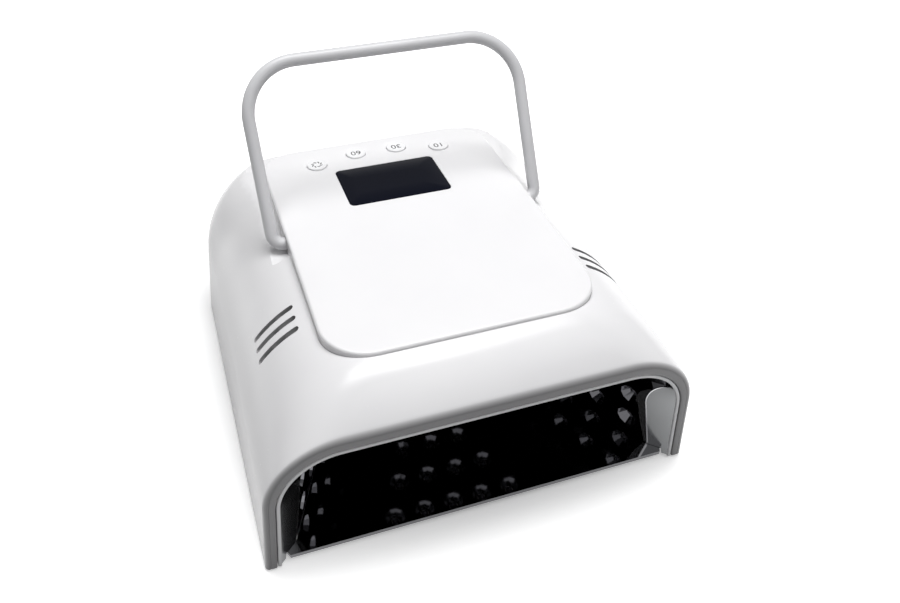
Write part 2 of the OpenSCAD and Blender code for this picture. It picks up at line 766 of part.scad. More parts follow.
module thumb_board() {
    color(board_white) in_place() difference() {
        thumb_frame() difference() {
            translate([cup_depth, 6, 5]) cube([lamp_board_t, 58, 36]);
            for (p = thumb_post_at)
                translate([cup_depth - 1, p[0], p[1]]) rotate([0, 90, 0]) cylinder(d = 2.2, h = 4);
        }
    }
}
module left_led_board() {
    mirror([1, 0, 0]) thumb_board();
}
module right_led_board() {
    thumb_board();
}

// Eye that starts the timer when a hand goes in
module presence_sensor() {
    color(soft_black) in_place() ceiling_frame()
        translate([-5, -lamp_row_y + 11.7, 0.2]) difference() {
            cube([10, 5, cup_depth - 0.2]);
            for (x = [2.6, 7.4]) translate([x, 2.5, -1]) cylinder(d = 3, h = 2.2);
        }
}

// Base
base_half = half_w - case_wall - 0.6;
base_y1 = case_d - case_wall - 0.4;
liner_foot = tan(wall_lean) * (frame_t + 2);

// Floor plan of the cavity, grown by g all round
module floor_plan(g) {
    rows = cavity_rows(0);
    right = [for (q = rows) [q[1] - liner_foot - tray_gap + g,
        q[0] + (q[0] > finger_y ? g - tray_gap : 0)]];
    front = tray_front - (g > 0 ? 8 : 0);
    polygon(concat([[half_w - 12.8 + g, front]], right,
        [for (i = [len(right) - 1:-1:0]) [-right[i][0], right[i][1]]], [[12.8 - half_w - g, front]]));
}

module base_frame() {
    color(white) in_place() difference() {
        union() {
            linear_extrude(frame_t) difference() {
                slab_outline(base_half, flange_y + 1.6, base_y1, 0.5, rear_r - case_wall - 0.4);
                floor_plan(tray_gap);
            }
            linear_extrude(ledge_t) difference() {
                intersection() {
                    floor_plan(tray_gap + 1);
                    translate([-case_w, 14]) square([2 * case_w, case_d]);
                }
                floor_plan(-ledge_w);
            }
        }
        both_sides() for (p = base_screw_at) translate([p[0], p[1], -1]) {
            cylinder(d = screw_dia + 0.4, h = 6);
            cylinder(d = 6, h = 2.2);
        }
        both_sides() for (p = foot_at) translate([p[0], p[1], -1]) cylinder(d = foot_dia + 0.2, h = 2);
        for (p = magnet_at) translate([p[0], p[1], ledge_t - magnet_t])
            cylinder(d = magnet_dia + 0.1, h = 3);
        both_sides() for (p = cradle_screw_at) translate([p[0], p[1], -1]) cylinder(d = 2, h = 6);
    }
}

tray_z = ledge_t + tray_lift;
module floor_tray() {
    color(mirror_black) in_place() difference() {
        translate([0, 0, tray_z]) linear_extrude(tray_t) floor_plan(0);
        for (p = magnet_at) translate([p[0], p[1], tray_z - 1])
            cylinder(d = magnet_dia + 0.1, h = magnet_t + 1);
    }
}

// Magnets face each other through the gap between ledge and tray
magnet_at = [for (s = [-1, 1], y = [60, 125])
    [s * (thumb_w(min(y, thumb_y)) - (y > thumb_y ? 8.9 * (y - thumb_y) / (finger_y - thumb_y) : 0)
        - liner_foot - tray_gap - ledge_w / 2 - 0.3), y]];
module tray_magnets() {
    color(steel) in_place() for (p = magnet_at)
        translate([p[0], p[1], tray_z + 0.02]) cylinder(d = magnet_dia, h = magnet_t - 0.04);
}
module frame_magnets() {
    color(steel) in_place() for (p = magnet_at)
        translate([p[0], p[1], ledge_t - magnet_t]) cylinder(d = magnet_dia, h = magnet_t);
}

foot_at = [[half_w - 12, 22], [half_w - 28, case_d - 30]];
module rubber_feet() {
    color(soft_black) in_place() both_sides() for (p = foot_at) translate([p[0], p[1], -foot_h]) {
        cylinder(d1 = foot_dia - 1.2, d2 = foot_dia, h = 0.6);
        translate([0, 0, 0.6 - eps]) cylinder(d = foot_dia, h = foot_h + 0.4 + eps);
    }
}

// Screw with a cylinder head, pointing up from z = 0
module screw(d, len, head_d, head_t) {
    difference() {
        cylinder(d = head_d, h = head_t);
        translate([0, 0, -eps]) cylinder(d = head_d / 2, h = head_t / 2, $fn = 6);
    }
    translate([0, 0, head_t - eps]) cylinder(d = d, h = len);
}
module base_screws() {
    color(steel) in_place() both_sides() for (p = base_screw_at)
        translate([p[0], p[1], 0.1]) screw(pilot_dia - 0.1, 12, 5.6, 1.1);
}

// Power
cell_y = [case_d - 36, case_d - 36 + cell_dia + 0.8];
cell_z = frame_t + cradle_t + cell_dia / 2 + 0.1;
cradle_y0 = cell_y[0] - cell_dia / 2 - 9;
cradle_y1 = cell_y[1] + cell_dia / 2 + 2.4;
cradle_half = cell_len + 3.2;
strap_x = cell_len / 2 + 0.8;
cradle_screw_at = [[cradle_half - 4, cradle_y0 + 4]];

module battery_cells() {
    color("#3f6fb0") in_place() both_sides() for (y = cell_y)
        translate([0.8, y, cell_z]) rotate([0, 90, 0]) {
            cylinder(d = cell_dia, h = cell_len - 1);
            cylinder(d = 6, h = cell_len);
        }
}

// Cradle with cross walls between and outside the cells
module battery_cradle() {
    color(soft_black) in_place() difference() {
        union() {
            translate([-cradle_half, cradle_y0, frame_t])
                cube([2 * cradle_half, cradle_y1 - cradle_y0, cradle_t]);
            for (x = [-cradle_half, -0.7, cradle_half - 1.4])
                translate([x, cell_y[0] - cell_dia / 2, frame_t])
                    cube([1.4, cell_y[1] - cell_y[0] + cell_dia, cradle_t + 11]);
            translate([-cradle_half, cradle_y1 - 1.6, frame_t])
                cube([2 * cradle_half, 1.6, cradle_t + 8]);
        }
        both_sides() {
            translate([strap_x, cradle_y0 + 4.5, frame_t - 1]) cylinder(d = 2, h = cradle_t + 2);
            for (p = cradle_screw_at) translate([p[0], p[1], 0]) cylinder(d = 2.4, h = 8);
            translate([strap_x - 5.2, cradle_y1 - 2, frame_t + cradle_t + 3])
                cube([10.4, 3, 2]);
        }
    }
}

// Strap over two cells, screwed down in front and hooked through the rear wall of the cradle
strap_top = cell_z + cell_dia / 2 + 0.1;
module battery_straps() {
    foot_z = frame_t + cradle_t;
    y_front = cell_y[0] - cell_dia / 2 - 1.6;
    y_back = cell_y[1] + cell_dia / 2 + 0.2;
    color(steel) in_place() both_sides() difference() {
        union() {
            translate([strap_x - 5, y_front, strap_top]) cube([10, y_back - y_front + 0.6, 0.8]);
            translate([strap_x - 5, y_front, foot_z]) cube([10, 0.8, strap_top - foot_z + eps]);
            translate([strap_x - 5, cradle_y0 + 0.5, foot_z]) cube([10, y_front - cradle_y0, 0.8]);
            translate([strap_x - 5, y_back, foot_z + 3.2])
                cube([10, 0.6, strap_top - foot_z - 3.2 + eps]);
            translate([strap_x - 5, y_back, foot_z + 3.2]) cube([10, 2, 0.8]);
        }
        translate([strap_x, cradle_y0 + 4.5, foot_z - 1]) cylinder(d = 2.4, h = 3);
    }
}
module strap_screws() {
    foot_z = frame_t + cradle_t;
    color(steel) in_place() both_sides() {
        translate([strap_x, cradle_y0 + 4.5, foot_z + 0.8 + 1.3]) rotate([180, 0, 0])
            screw(1.9, 2.6, 3.6, 1.3);
        for (p = cradle_screw_at) translate([p[0], p[1], foot_z + 1.3]) rotate([180, 0, 0])
            screw(1.9, 4, 3.6, 1.3);
    }
}

// Power socket: square body, threaded-looking nose in the rear wall, centre pin
module dc_jack() {
    nose_y = case_d - case_wall - 0.2;
    color(soft_black) in_place() translate([jack_x, 0, jack_z]) {
        difference() {
            union() {
                translate([-4.6, nose_y - 12, -5.5]) cube([9.2, 12, 11]);
                translate([0, nose_y - eps, 0]) rotate([-90, 0, 0])
                    cylinder(d = jack_dia, h = case_wall - 0.1);
            }
            translate([0, case_d + 1, 0]) rotate([90, 0, 0])
                cylinder(d = jack_bore, h = 11);
        }
        translate([0, case_d - 0.6, 0]) rotate([90, 0, 0]) cylinder(d = 2.1, h = 10);
        // Leg that stands on the base frame
        translate([-4.6, nose_y - 12, frame_t - jack_z]) cube([9.2, 3, jack_z - 5.4 - frame_t]);
    }
}

// Main board with its connectors, coils and capacitors
module main_board() {
    top = main_board_z + board_t;
    color(board_green) in_place() {
        difference() {
            translate([-main_w / 2, main_y0, main_board_z])
                cube([main_w, main_y1 - main_y0, board_t]);
            both_sides() for (p = main_post_at)
                translate([p[0], p[1], main_board_z - 1]) cylinder(d = 2.4, h = 6);
        }
        translate([-34, main_y0 + 3, top - eps]) cube([12, 6, 6]);
        translate([-14, main_y0 + 3, top - eps]) cube([12, 6, 6]);
        translate([18, main_y0 + 3, top - eps]) cube([16, 6, 6]);
        for (x = [-26, -10, 6]) translate([x, main_y0 + 24, top - eps]) cylinder(d = 10, h = 5);
        for (x = [-30, -18]) translate([x, main_y0 + 42, top - eps]) cylinder(d = 8, h = 9);
        translate([6, main_y0 + 36, top - eps]) cube([14, 14, 1.4]);
        translate([28, main_y0 + 38, top - eps]) cylinder(d = 12, h = 6);
    }
}

// Handle
stub_in = boss_in - 3.4;
module rod(len) {
    cylinder(d = bar_dia, h = len);
}
module handle_half() {
    leg_x = handle_w / 2;
    groove_x = boss_in - 2.2;
    // Stub with the groove for its clip
    difference() {
        translate([stub_in, 0, 0]) rotate([0, 90, 0]) rod(leg_x - elbow_r - stub_in);
        translate([groove_x, 0, 0]) rotate([0, 90, 0]) difference() {
            cylinder(d = bar_dia + 2, h = 0.9);
            translate([0, 0, -1]) cylinder(d = bar_dia - 1.4, h = 3);
        }
    }
    // Elbow, leg, bend and half of the crossbar
    translate([leg_x - elbow_r, 0, elbow_r]) rotate([90, 90, 0])
        rotate_extrude(angle = 90, $fn = 64) translate([elbow_r, 0]) circle(d = bar_dia);
    translate([leg_x, 0, elbow_r]) rod(leg_len - elbow_r - bend_r);
    translate([leg_x - bend_r, 0, leg_len - bend_r]) rotate([90, 0, 0])
        rotate_extrude(angle = 90, $fn = 96) translate([bend_r, 0]) circle(d = bar_dia);
    translate([0, 0, leg_len]) rotate([0, 90, 0]) rod(leg_x - bend_r);
}
module at_pivot() {
    translate([0, pivot_y, pivot_z]) children();
}
module handle() {
    color(satin_silver) in_place() at_pivot() rotate([-handle_lean, 0, 0]) both_sides()
        handle_half();
}

// Nylon bushes in the plateau walls, flange on the inside
module handle_bushes() {
    color("#e9e7e0") in_place() both_sides() translate([boss_in - 0.8, pivot_y, pivot_z])
        rotate([0, 90, 0]) difference() {
            union() {
                cylinder(d = bush_dia, h = panel_w / 2 - boss_in + 0.8);
                cylinder(d = bush_dia + 1.4, h = 0.8);
            }
            translate([0, 0, -1]) cylinder(d = bar_dia + 2 * pivot_fit, h = 30);
        }
}
// Spring washers that give the pivot its friction
module handle_washers() {
    color(steel) in_place() both_sides() translate([boss_in - 1.25, pivot_y, pivot_z])
        rotate([0, 90, 0]) difference() {
            cylinder(d = bar_dia + 2.8, h = 0.4);
            translate([0, 0, -1]) cylinder(d = bar_dia + 0.3, h = 3);
        }
}
// Open ring clips in the grooves of the stubs
module handle_clips() {
    color(steel) in_place() at_pivot() rotate([-handle_lean, 0, 0]) both_sides()
        translate([boss_in - 2.1, 0, 0]) rotate([0, 90, 0]) difference() {
            cylinder(d = bar_dia + 3, h = 0.7);
            translate([0, 0, -1]) cylinder(d = bar_dia - 1.3, h = 3);
            translate([-bar_dia, -1.6, -1]) cube([bar_dia, 3.2, 3]);
        }
}

// Fasteners of the panel and the boards
module panel_screws() {
    color(steel) in_place() both_sides() for (p = panel_screw_at)
        translate([p[0], p[1], seat_z(p[1]) - case_wall - 0.25 - 1.3]) screw(1.9, 3.6, 7, 1.3);
}
module board_screws() {
    color(steel) in_place() {
        both_sides() for (p = main_post_at)
            translate([p[0], p[1], main_board_z - 1.4]) screw(1.9, 7, 4, 1.4);
        display_frame() both_sides() for (p = board_post_at)
            translate([p[0], p[1], -board_drop - board_t - 1.3]) screw(1.7, 6, 3.6, 1.3);
        ceiling_frame() both_sides() for (p = ceiling_post_at)
            translate([p[0], p[1], cup_depth + lamp_board_t + 1]) rotate([180, 0, 0])
                screw(1.5, 3.6, 3.2, 1);
        both_sides() thumb_frame() for (p = thumb_post_at)
            translate([cup_depth + lamp_board_t + 1, p[0], p[1]]) rotate([0, -90, 0])
                screw(1.5, 3.6, 3.2, 1);
    }
}

upper_housing();
control_panel();
front_bezel();
mouth_collar();
reflector();
reflector_cups();
uv_leds();
top_led_board();
left_led_board();
right_led_board();
presence_sensor();
base_frame();
floor_tray();
tray_magnets();
frame_magnets();
rubber_feet();
base_screws();
battery_cells();
battery_cradle();
battery_straps();
strap_screws();
main_board();
display_board();
display_module();
display_window();
tact_switches();
button(0);  // button_mode
button(1);  // button_60
button(2);  // button_30
button(3);  // button_10
plunger(0);  // plunger_mode
plunger(1);  // plunger_60
plunger(2);  // plunger_30
plunger(3);  // plunger_10
handle();
handle_bushes();
handle_washers();
handle_clips();
dc_jack();
panel_screws();
board_screws();
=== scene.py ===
import bpy
import bmesh
import numpy as np
from math import cos, pi, radians, sin, tan
from mathutils import Matrix, Vector, geometry


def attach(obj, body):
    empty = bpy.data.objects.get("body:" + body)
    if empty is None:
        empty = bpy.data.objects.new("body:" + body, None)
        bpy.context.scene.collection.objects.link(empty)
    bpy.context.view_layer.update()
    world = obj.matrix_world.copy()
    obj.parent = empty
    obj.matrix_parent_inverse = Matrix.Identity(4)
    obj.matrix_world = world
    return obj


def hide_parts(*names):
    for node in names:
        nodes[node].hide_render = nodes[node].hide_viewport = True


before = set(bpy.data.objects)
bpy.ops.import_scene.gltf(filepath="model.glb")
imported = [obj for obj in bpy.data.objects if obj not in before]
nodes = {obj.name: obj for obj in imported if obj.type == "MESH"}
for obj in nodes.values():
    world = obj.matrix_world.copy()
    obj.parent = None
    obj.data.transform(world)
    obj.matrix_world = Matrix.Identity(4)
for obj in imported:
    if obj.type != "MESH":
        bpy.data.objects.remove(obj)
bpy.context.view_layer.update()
scene = bpy.context.scene
scene.view_settings.view_transform = "Standard"


# Camera, lamps and floor
# A hand's reach in front of the left corner of the mouth, looking down on the panel. The lamps are
# plain soft boxes, and the floor is a pale sheet that keeps the soft shadow under the case, with a
# painted shadow in its glow round the case.
camera_turn, camera_pitch, camera_roll = radians(20.03), radians(41.42), radians(-1.40)
camera_spot = (-0.10823, -0.34695, 0.36837)
picture_pixels, focal_pixels, sensor_width = 900, 851.38, 36
ahead = np.array([sin(camera_turn), cos(camera_turn), 0.0])
across = np.array([cos(camera_turn), -sin(camera_turn), 0.0])
upright = np.array([0, 0, 1.0])
look = cos(camera_pitch) * ahead - sin(camera_pitch) * upright
down = -(sin(camera_pitch) * ahead + cos(camera_pitch) * upright)
right = cos(camera_roll) * across + sin(camera_roll) * down
lower = -sin(camera_roll) * across + cos(camera_roll) * down
camera = bpy.data.objects.new("camera", bpy.data.cameras.new("camera"))
scene.collection.objects.link(camera)
camera.data.lens = focal_pixels * sensor_width / picture_pixels
camera.data.sensor_width = sensor_width
camera.data.clip_start = 0.01
camera.matrix_world = Matrix([[right[i], -lower[i], -look[i], camera_spot[i]] for i in range(3)]
                             + [[0, 0, 0, 1]])
scene.camera = camera


def soft_box(name, place, aim, size, power):
    """Rectangular lamp at a place, turned to an aim point, with its width and depth in metres."""
    lamp = bpy.data.lights.new(name, "AREA")
    lamp.shape = "RECTANGLE"
    lamp.size, lamp.size_y = size
    lamp.energy = power
    thing = bpy.data.objects.new(name, lamp)
    scene.collection.objects.link(thing)
    thing.location = place
    thing.rotation_euler = (Vector(aim) - Vector(place)).to_track_quat("-Z", "Y").to_euler()


case_middle = (0, 0, 0.05)
soft_box("lamp_overhead", (0.05, 0.12, 1.3), case_middle, (0.85, 0.55), 13.5)
soft_box("lamp_front", (0.36, -0.68, 1.2), case_middle, (0.8, 0.6), 3.3)


def node(tree, kind, links=None, values=None, **settings):
    """Shader node with its settings, fixed input values and incoming links."""
    made = tree.nodes.new("ShaderNode" + kind)
    for key, value in settings.items():
        setattr(made, key, value)
    for key, value in (values or {}).items():
        made.inputs[key].default_value = value
    for key, source in (links or {}).items():
        tree.links.new(source, made.inputs[key])
    return made


def maths(tree, operation, *parts, **settings):
    """Result of an operation on sockets and plain numbers."""
    numbers = {k: part for k, part in enumerate(parts) if isinstance(part, (int, float))}
    sources = {k: part for k, part in enumerate(parts) if k not in numbers}
    return node(tree, "Math", sources, numbers, operation=operation, **settings).outputs[0]


def remap(tree, source, low, high, at_low, at_high):
    """Source moved in a straight line so that low and high become two new values, held past both."""
    return node(tree, "MapRange", {"Value": source}, {
        "From Min": low, "From Max": high, "To Min": at_low, "To Max": at_high}).outputs[0]


def plain_rays(tree):
    """1 for rays that look at the background itself: from the camera, in gloss and through glass."""
    rays = node(tree, "LightPath").outputs
    seen = maths(tree, "MAXIMUM", rays["Is Camera Ray"], rays["Is Glossy Ray"])
    return maths(tree, "MAXIMUM", seen, rays["Is Transmission Ray"])


world = bpy.data.worlds.new("studio")
scene.world = world
world.use_nodes = True
tree = world.node_tree
tree.nodes.clear()
dim = node(tree, "Background", values={"Color": (0.97, 0.98, 1.0, 1), "Strength": 0.15})
plain = node(tree, "Background", values={"Color": (1, 1, 1, 1), "Strength": 1.0})
mix = node(tree, "MixShader", {0: plain_rays(tree), 1: dim.outputs[0], 2: plain.outputs[0]})
node(tree, "OutputWorld", {0: mix.outputs[0]})

# The sheet lies just under the feet. Near the case it keeps its shadow, and round the case its glow is
# weak, a painted shadow whose middle lies a little right of and behind the case's middle. Away from it
# the paper is plain white.
floor_half, floor_drop = 4.0, 0.0001
painted_shadow_middle, painted_shadow_reach, white_reach = (0.015, 0.04, 0.0), 0.12, 0.30
sheet = bpy.data.meshes.new("floor_sheet")
sheet.from_pydata([(x * floor_half, y * floor_half, -floor_drop)
                   for x, y in ((-1, -1), (1, -1), (1, 1), (-1, 1))], [], [(0, 1, 2, 3)])
floor = bpy.data.objects.new("floor_sheet", sheet)
scene.collection.objects.link(floor)
paper = bpy.data.materials.new("floor_paper")
paper.use_nodes = True
tree = paper.node_tree
tree.nodes.clear()
sight = plain_rays(tree)
away = node(tree, "VectorMath", {0: node(tree, "TexCoord").outputs["Object"]}, {1: painted_shadow_middle},
            operation="DISTANCE")
# Painted shadow: the glow falls from 1 far from the case to 0.08 near it
bright = remap(tree, away.outputs["Value"], painted_shadow_reach, white_reach, 0.08, 1.0)
matt = node(tree, "BsdfDiffuse", {"Color": maths(tree, "MULTIPLY_ADD", sight, 0.60, 0.38)})
glow = node(tree, "Emission", {"Strength": maths(tree, "MULTIPLY", sight, bright)},
            {"Color": (1, 1, 1, 1)})
add = node(tree, "AddShader", {0: matt.outputs[0], 1: glow.outputs[0]})
node(tree, "OutputMaterial", {0: add.outputs[0]})
sheet.materials.append(paper)


# Upper housing
# The arched shell of the case: one moulding in glossy white plastic, 2.6 mm thick, with a raised
# plateau for the panel, a channel on each side for the folded legs and three slots per shoulder.
case_half, case_depth, wall, front_wall, foot_height = 113.2, 226.0, 2.6, 3.4, 1.5
front_edge, rear_corner, rear_roof = 2.5, 27.0, 9.0
rim_height, slope_length = 80.0, 30.0
mouth_radius, slope_radius, middle_radius, rear_radius = 38.5, 62.5, 66.0, 50.5
mouth_lean, middle_lean, rear_lean = radians(5.3), radians(8.1), radians(6.6)
channel_floor, channel_side, channel_start, channel_corner = 86.1, 79.9, 119.0, 6.0
plateau_half, plateau_front, plateau_rear = 68.3, 28.5, 214.3
plateau_front_radius, plateau_rear_radius = 23.0, 20.0
panel_thick, panel_proud, panel_seam, seam_depth = 2.2, 1.9, 0.2, 0.8
panel_rear_height, panel_fall, panel_bend, panel_bow = 93.9, 0.05, 135.0, 0.000343
bay_half, bay_front, bay_rear = 52.0, 139.0, 209.1
slot_top, slot_foot, slot_width = np.array([75, 90.6]), np.array([96, 72.6]), 3.3
slot_places = (64.8, 72.8, 80.9)
socket_middle, socket_radius = (75.0, 17.0), 4.25
mouth_bore, bore_front = (110.5, 77.7, 35.9, mouth_lean), 0.06


def panel_height(y):
    """Upper surface of the panel: a straight fall to the rear, less a parabola before the bend."""
    return (panel_rear_height + panel_fall * (plateau_rear - y)
            - panel_bow * np.maximum(panel_bend - y, 0) ** 2)


def eased(y, knots, values, window=16.0):
    """Straight lines through the knots, averaged over a window so that they meet smoothly."""
    steps = np.linspace(-window / 2, window / 2, 17)
    return np.mean([np.interp(y + s, knots, values) for s in steps], axis=0)


def climb(y):
    """Quarter sine from 0 at the mouth to 1 at the end of the front slope."""
    return np.sin(pi / 2 * np.clip(y / slope_length, 0, 1))


def roof_height(y):
    """Roof: the climb from the rim to the panel's front, then level with the panel less its rise."""
    crest = panel_height(slope_length) - panel_proud
    return np.where(y < slope_length, rim_height + (crest - rim_height) * climb(y),
                    panel_height(y) - panel_proud)


def shoulder_radius(y):
    """Corner radius of the arch: the climb from the mouth's to the slope's, then eased lines."""
    rear = eased(y, [70, 110, 180, 215], [slope_radius, middle_radius, middle_radius, rear_radius])
    return np.where(y < 50, mouth_radius + (slope_radius - mouth_radius) * climb(y), rear)


def wall_lean(y):
    """Lean of the side walls in radians, in eased lines."""
    return eased(y, [30, 110, 180, 215], [mouth_lean, middle_lean, middle_lean, rear_lean])


def inset(radius, run):
    """How far a rounded end has come in after a run along its quarter circle."""
    return radius - np.sqrt(np.maximum(radius ** 2 - np.clip(run, 0, radius) ** 2, 0))


def shell_arch(y, depth):
    """Half width, height, corner radius and lean of the arch at y, the wall's depth inside it."""
    front = inset(front_edge, front_edge - y) if depth == 0 else 0.0
    side = depth + front + inset(rear_corner - depth, y - (case_depth - rear_corner))
    roof = depth + front + inset(rear_roof - depth, y - (case_depth - rear_roof))
    lean = wall_lean(y)
    return (case_half - side / np.cos(lean), roof_height(y) - roof,
            shoulder_radius(y) - (side + roof) / 2, lean)


def corner_middle(w, h, r, lean):
    """Middle of the arch's corner, a circle that touches the flat top and the leaning wall."""
    return w - (r + (h - r) * np.sin(lean)) / np.cos(lean), h - r


def arch_point(v, w, h, r, lean, base=0.0):
    """Point of half an arch. v runs over the flat top (0 to 50), the corner (50 to 150, an arc of
    90 degrees less the lean) and the leaning wall (150 to 180) down to the base."""
    cx, cz = corner_middle(w, h, r, lean)
    turn = pi / 2 - (pi / 2 - lean) * np.clip((v - 50) / 100, 0, 1)
    fall = np.clip((v - 150) / 30, 0, 1)
    ax, az = cx + r * np.cos(lean), cz + r * np.sin(lean)
    foot = w - base * np.tan(lean)
    x = np.where(v < 50, cx * v / 50, np.where(v < 150, cx + r * np.cos(turn),
                                             ax + (foot - ax) * fall))
    z = np.where(v < 50, h, np.where(v < 150, cz + r * np.sin(turn), az + (base - az) * fall))
    return x, z


# Rows of v across half an arch, and the same with nothing between the wall's two ends
v_row = np.concatenate([np.linspace(0, 50, 7), np.linspace(50, 150, 31)[1:],
                        np.linspace(150, 180, 8)[1:]])
v_last = np.append(v_row[v_row < 150.5], 180.0)


def in_place(x, y, z):
    """Points drawn in millimetres from the mouth and the underside, put into the frame in metres."""
    x, y, z = np.broadcast_arrays(x, y, z)
    return np.stack([x, y - case_depth / 2, z + foot_height], axis=-1) / 1000


def grid_faces(rows, columns):
    """Quads between neighbouring rows and columns of a grid, counter-clockwise seen from above."""
    i = np.arange(rows * columns).reshape(rows, columns)
    return np.stack([i[:-1, :-1], i[:-1, 1:], i[1:, 1:], i[1:, :-1]], -1).reshape(-1, 4)


def inside(points, loop):
    """True for the points inside a closed loop: their ray to the right crosses it an odd number
    of times."""
    a, b = loop, np.roll(loop, -1, axis=0)
    px, py = points[:, :1], points[:, 1:]
    crosses = (a[:, 1] > py) != (b[:, 1] > py)
    with np.errstate(divide="ignore", invalid="ignore"):
        at = (b[:, 0] - a[:, 0]) * (py - a[:, 1]) / (b[:, 1] - a[:, 1]) + a[:, 0]
    return (np.sum(crosses & (px < at), axis=1) % 2) == 1


def nearness(points, loop):
    """Distance from each point to the nearest stretch of a closed loop."""
    a, b = loop, np.roll(loop, -1, axis=0)
    ab = b - a
    t = np.einsum("nkj,kj->nk", points[:, None] - a, ab) / np.maximum(np.sum(ab ** 2, 1), 1e-12)
    foot = a + np.clip(t, 0, 1)[..., None] * ab
    return np.min(np.linalg.norm(points[:, None] - foot, axis=2), axis=1)


def fill(loops, spacing):
    """Flat triangles inside the first loop and outside the others, with extra points on a
    staggered lattice at the given spacing."""
    low, high = loops[0].min(0), loops[0].max(0)
    extra = [np.zeros((0, 2))]
    for k, row in enumerate(np.arange(low[1] + spacing / 2, high[1], spacing * 0.866)):
        x = np.arange(low[0] + spacing * (0.5 + 0.5 * (k % 2)), high[0], spacing)
        extra.append(np.stack([x, np.full_like(x, row)], 1))
    extra = np.concatenate(extra)
    keep = inside(extra, loops[0])
    for loop in loops[1:]:
        keep &= ~inside(extra, loop)
    extra = extra[keep]
    for loop in loops:
        extra = extra[nearness(extra, loop) > 0.6 * spacing] if len(extra) else extra
    corners = np.concatenate(list(loops) + [extra])
    edges, start = [], 0
    for loop in loops:
        n = len(loop)
        edges += [(start + k, start + (k + 1) % n) for k in range(n)]
        start += n
    got = geometry.delaunay_2d_cdt([Vector(p) for p in corners], edges, [], 0, 1e-6)
    points = np.array([tuple(p) for p in got[0]])
    tris = np.array(got[2])
    middle = points[tris].mean(axis=1)
    good = inside(middle, loops[0])
    for loop in loops[1:]:
        good &= ~inside(middle, loop)
    return points, tris[good]


def build(name, parts, material, body="case", sharp=32.0):
    """Piece from patches of (points, faces), some with a third entry, a value from 0 to 1 for each
    point that the material reads as the mask. The patches are merged where they meet, and edges
    steeper than the sharp angle stay crisp."""
    points, faces, values, start = [], [], [], 0
    for p, f, *mask in parts:
        p = np.asarray(p, float).reshape(-1, 3)
        points.append(p)
        values.append(np.broadcast_to(mask[0] if mask else 0.0, len(p)))
        faces += [tuple(int(i) + start for i in face) for face in f]
        start += len(p)
    values = np.concatenate(values)
    mesh = bpy.data.meshes.new(name)
    mesh.from_pydata(np.concatenate(points).tolist(), [], faces)
    if values.any():
        layer = mesh.attributes.new("mask", "FLOAT", "POINT")
        layer.data.foreach_set("value", values.astype(np.float32))
    bm = bmesh.new()
    bm.from_mesh(mesh)
    bmesh.ops.remove_doubles(bm, verts=bm.verts, dist=2e-6)
    bmesh.ops.dissolve_degenerate(bm, edges=bm.edges, dist=1e-7)
    bm.to_mesh(mesh)
    bm.free()
    mesh.polygons.foreach_set("use_smooth", np.ones(len(mesh.polygons), bool))
    mesh.set_sharp_from_angle(angle=radians(sharp))
    mesh.materials.append(material)
    mesh.update()
    piece = bpy.data.objects.new(name, mesh)
    scene.collection.objects.link(piece)
    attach(piece, body)
    return piece


def outline(grow, y_from, y_to):
    """Right half of the plateau's outline seen from above, from the front to the rear: straight
    ends, round corners and straight sides, grown by a distance, cut to a range of y."""
    a = np.radians(np.linspace(-90, 0, 15))
    half, front, rear = plateau_half + grow, plateau_front - grow, plateau_rear + grow
    rf, rr = plateau_front_radius + grow, plateau_rear_radius + grow
    x = np.concatenate([np.linspace(0, half - rf, 8)[:-1], half - rf + rf * np.cos(a),
                        np.full(22, half), half - rr + rr * np.cos(a[::-1]),
                        np.linspace(half - rr, 0, 8)[1:]])
    y = np.concatenate([np.full(7, front), front + rf + rf * np.sin(a),
                        np.linspace(front + rf, rear - rr, 24)[1:-1],
                        rear - rr - rr * np.sin(a[::-1]), np.full(7, rear)])
    at = (y >= y_from - 1e-6) & (y <= y_to + 1e-6)
    x, y = x[at], y[at]
    if y_to < rear:
        x, y = np.append(x, half), np.append(y, y_to)
    if y_from > front:
        x, y = np.insert(x, 0, half), np.insert(y, 0, y_from)
    return x, y


def skin_z(x, y, depth):
    """Height of the shell over a point of the plan: the flat top, and the circle of its corner."""
    w, h, r, lean = shell_arch(y, depth)
    cx, cz = corner_middle(w, h, r, lean)
    return cz + np.where(x <= cx, r, np.sqrt(np.maximum(r ** 2 - (x - cx) ** 2, 0)))


def skin_v(x, y, depth):
    """The v that arch_point needs for a point of the plan."""
    w, h, r, lean = shell_arch(y, depth)
    cx = corner_middle(w, h, r, lean)[0]
    turn = np.arccos(np.clip((x - cx) / r, -1, 1))
    return np.where(x <= cx, 50 * x / cx, 50 + 100 * (pi / 2 - turn) / (pi / 2 - lean))


def skin_q(y, depth):
    """Depth unrolled round the rear corner, so that the mesh stays even there."""
    start, r = case_depth - rear_corner, rear_corner - depth
    return np.where(y < start, y, start + r * np.arcsin(np.clip((y - start) / r, 0, 1)))


def rolled_y(q, depth):
    """The y of an unrolled depth, rolled back round the rear corner's arc."""
    start, r = case_depth - rear_corner, rear_corner - depth
    return np.where(q < start, q, start + r * np.sin(np.clip((q - start) / r, 0, pi / 2)))


def on_shell(vq, depth):
    """Points (v, q) of the unrolled shell, put into the frame."""
    y = rolled_y(vq[:, 1], depth)
    x, z = arch_point(vq[:, 0], *shell_arch(y, depth))
    return in_place(x, y, z)


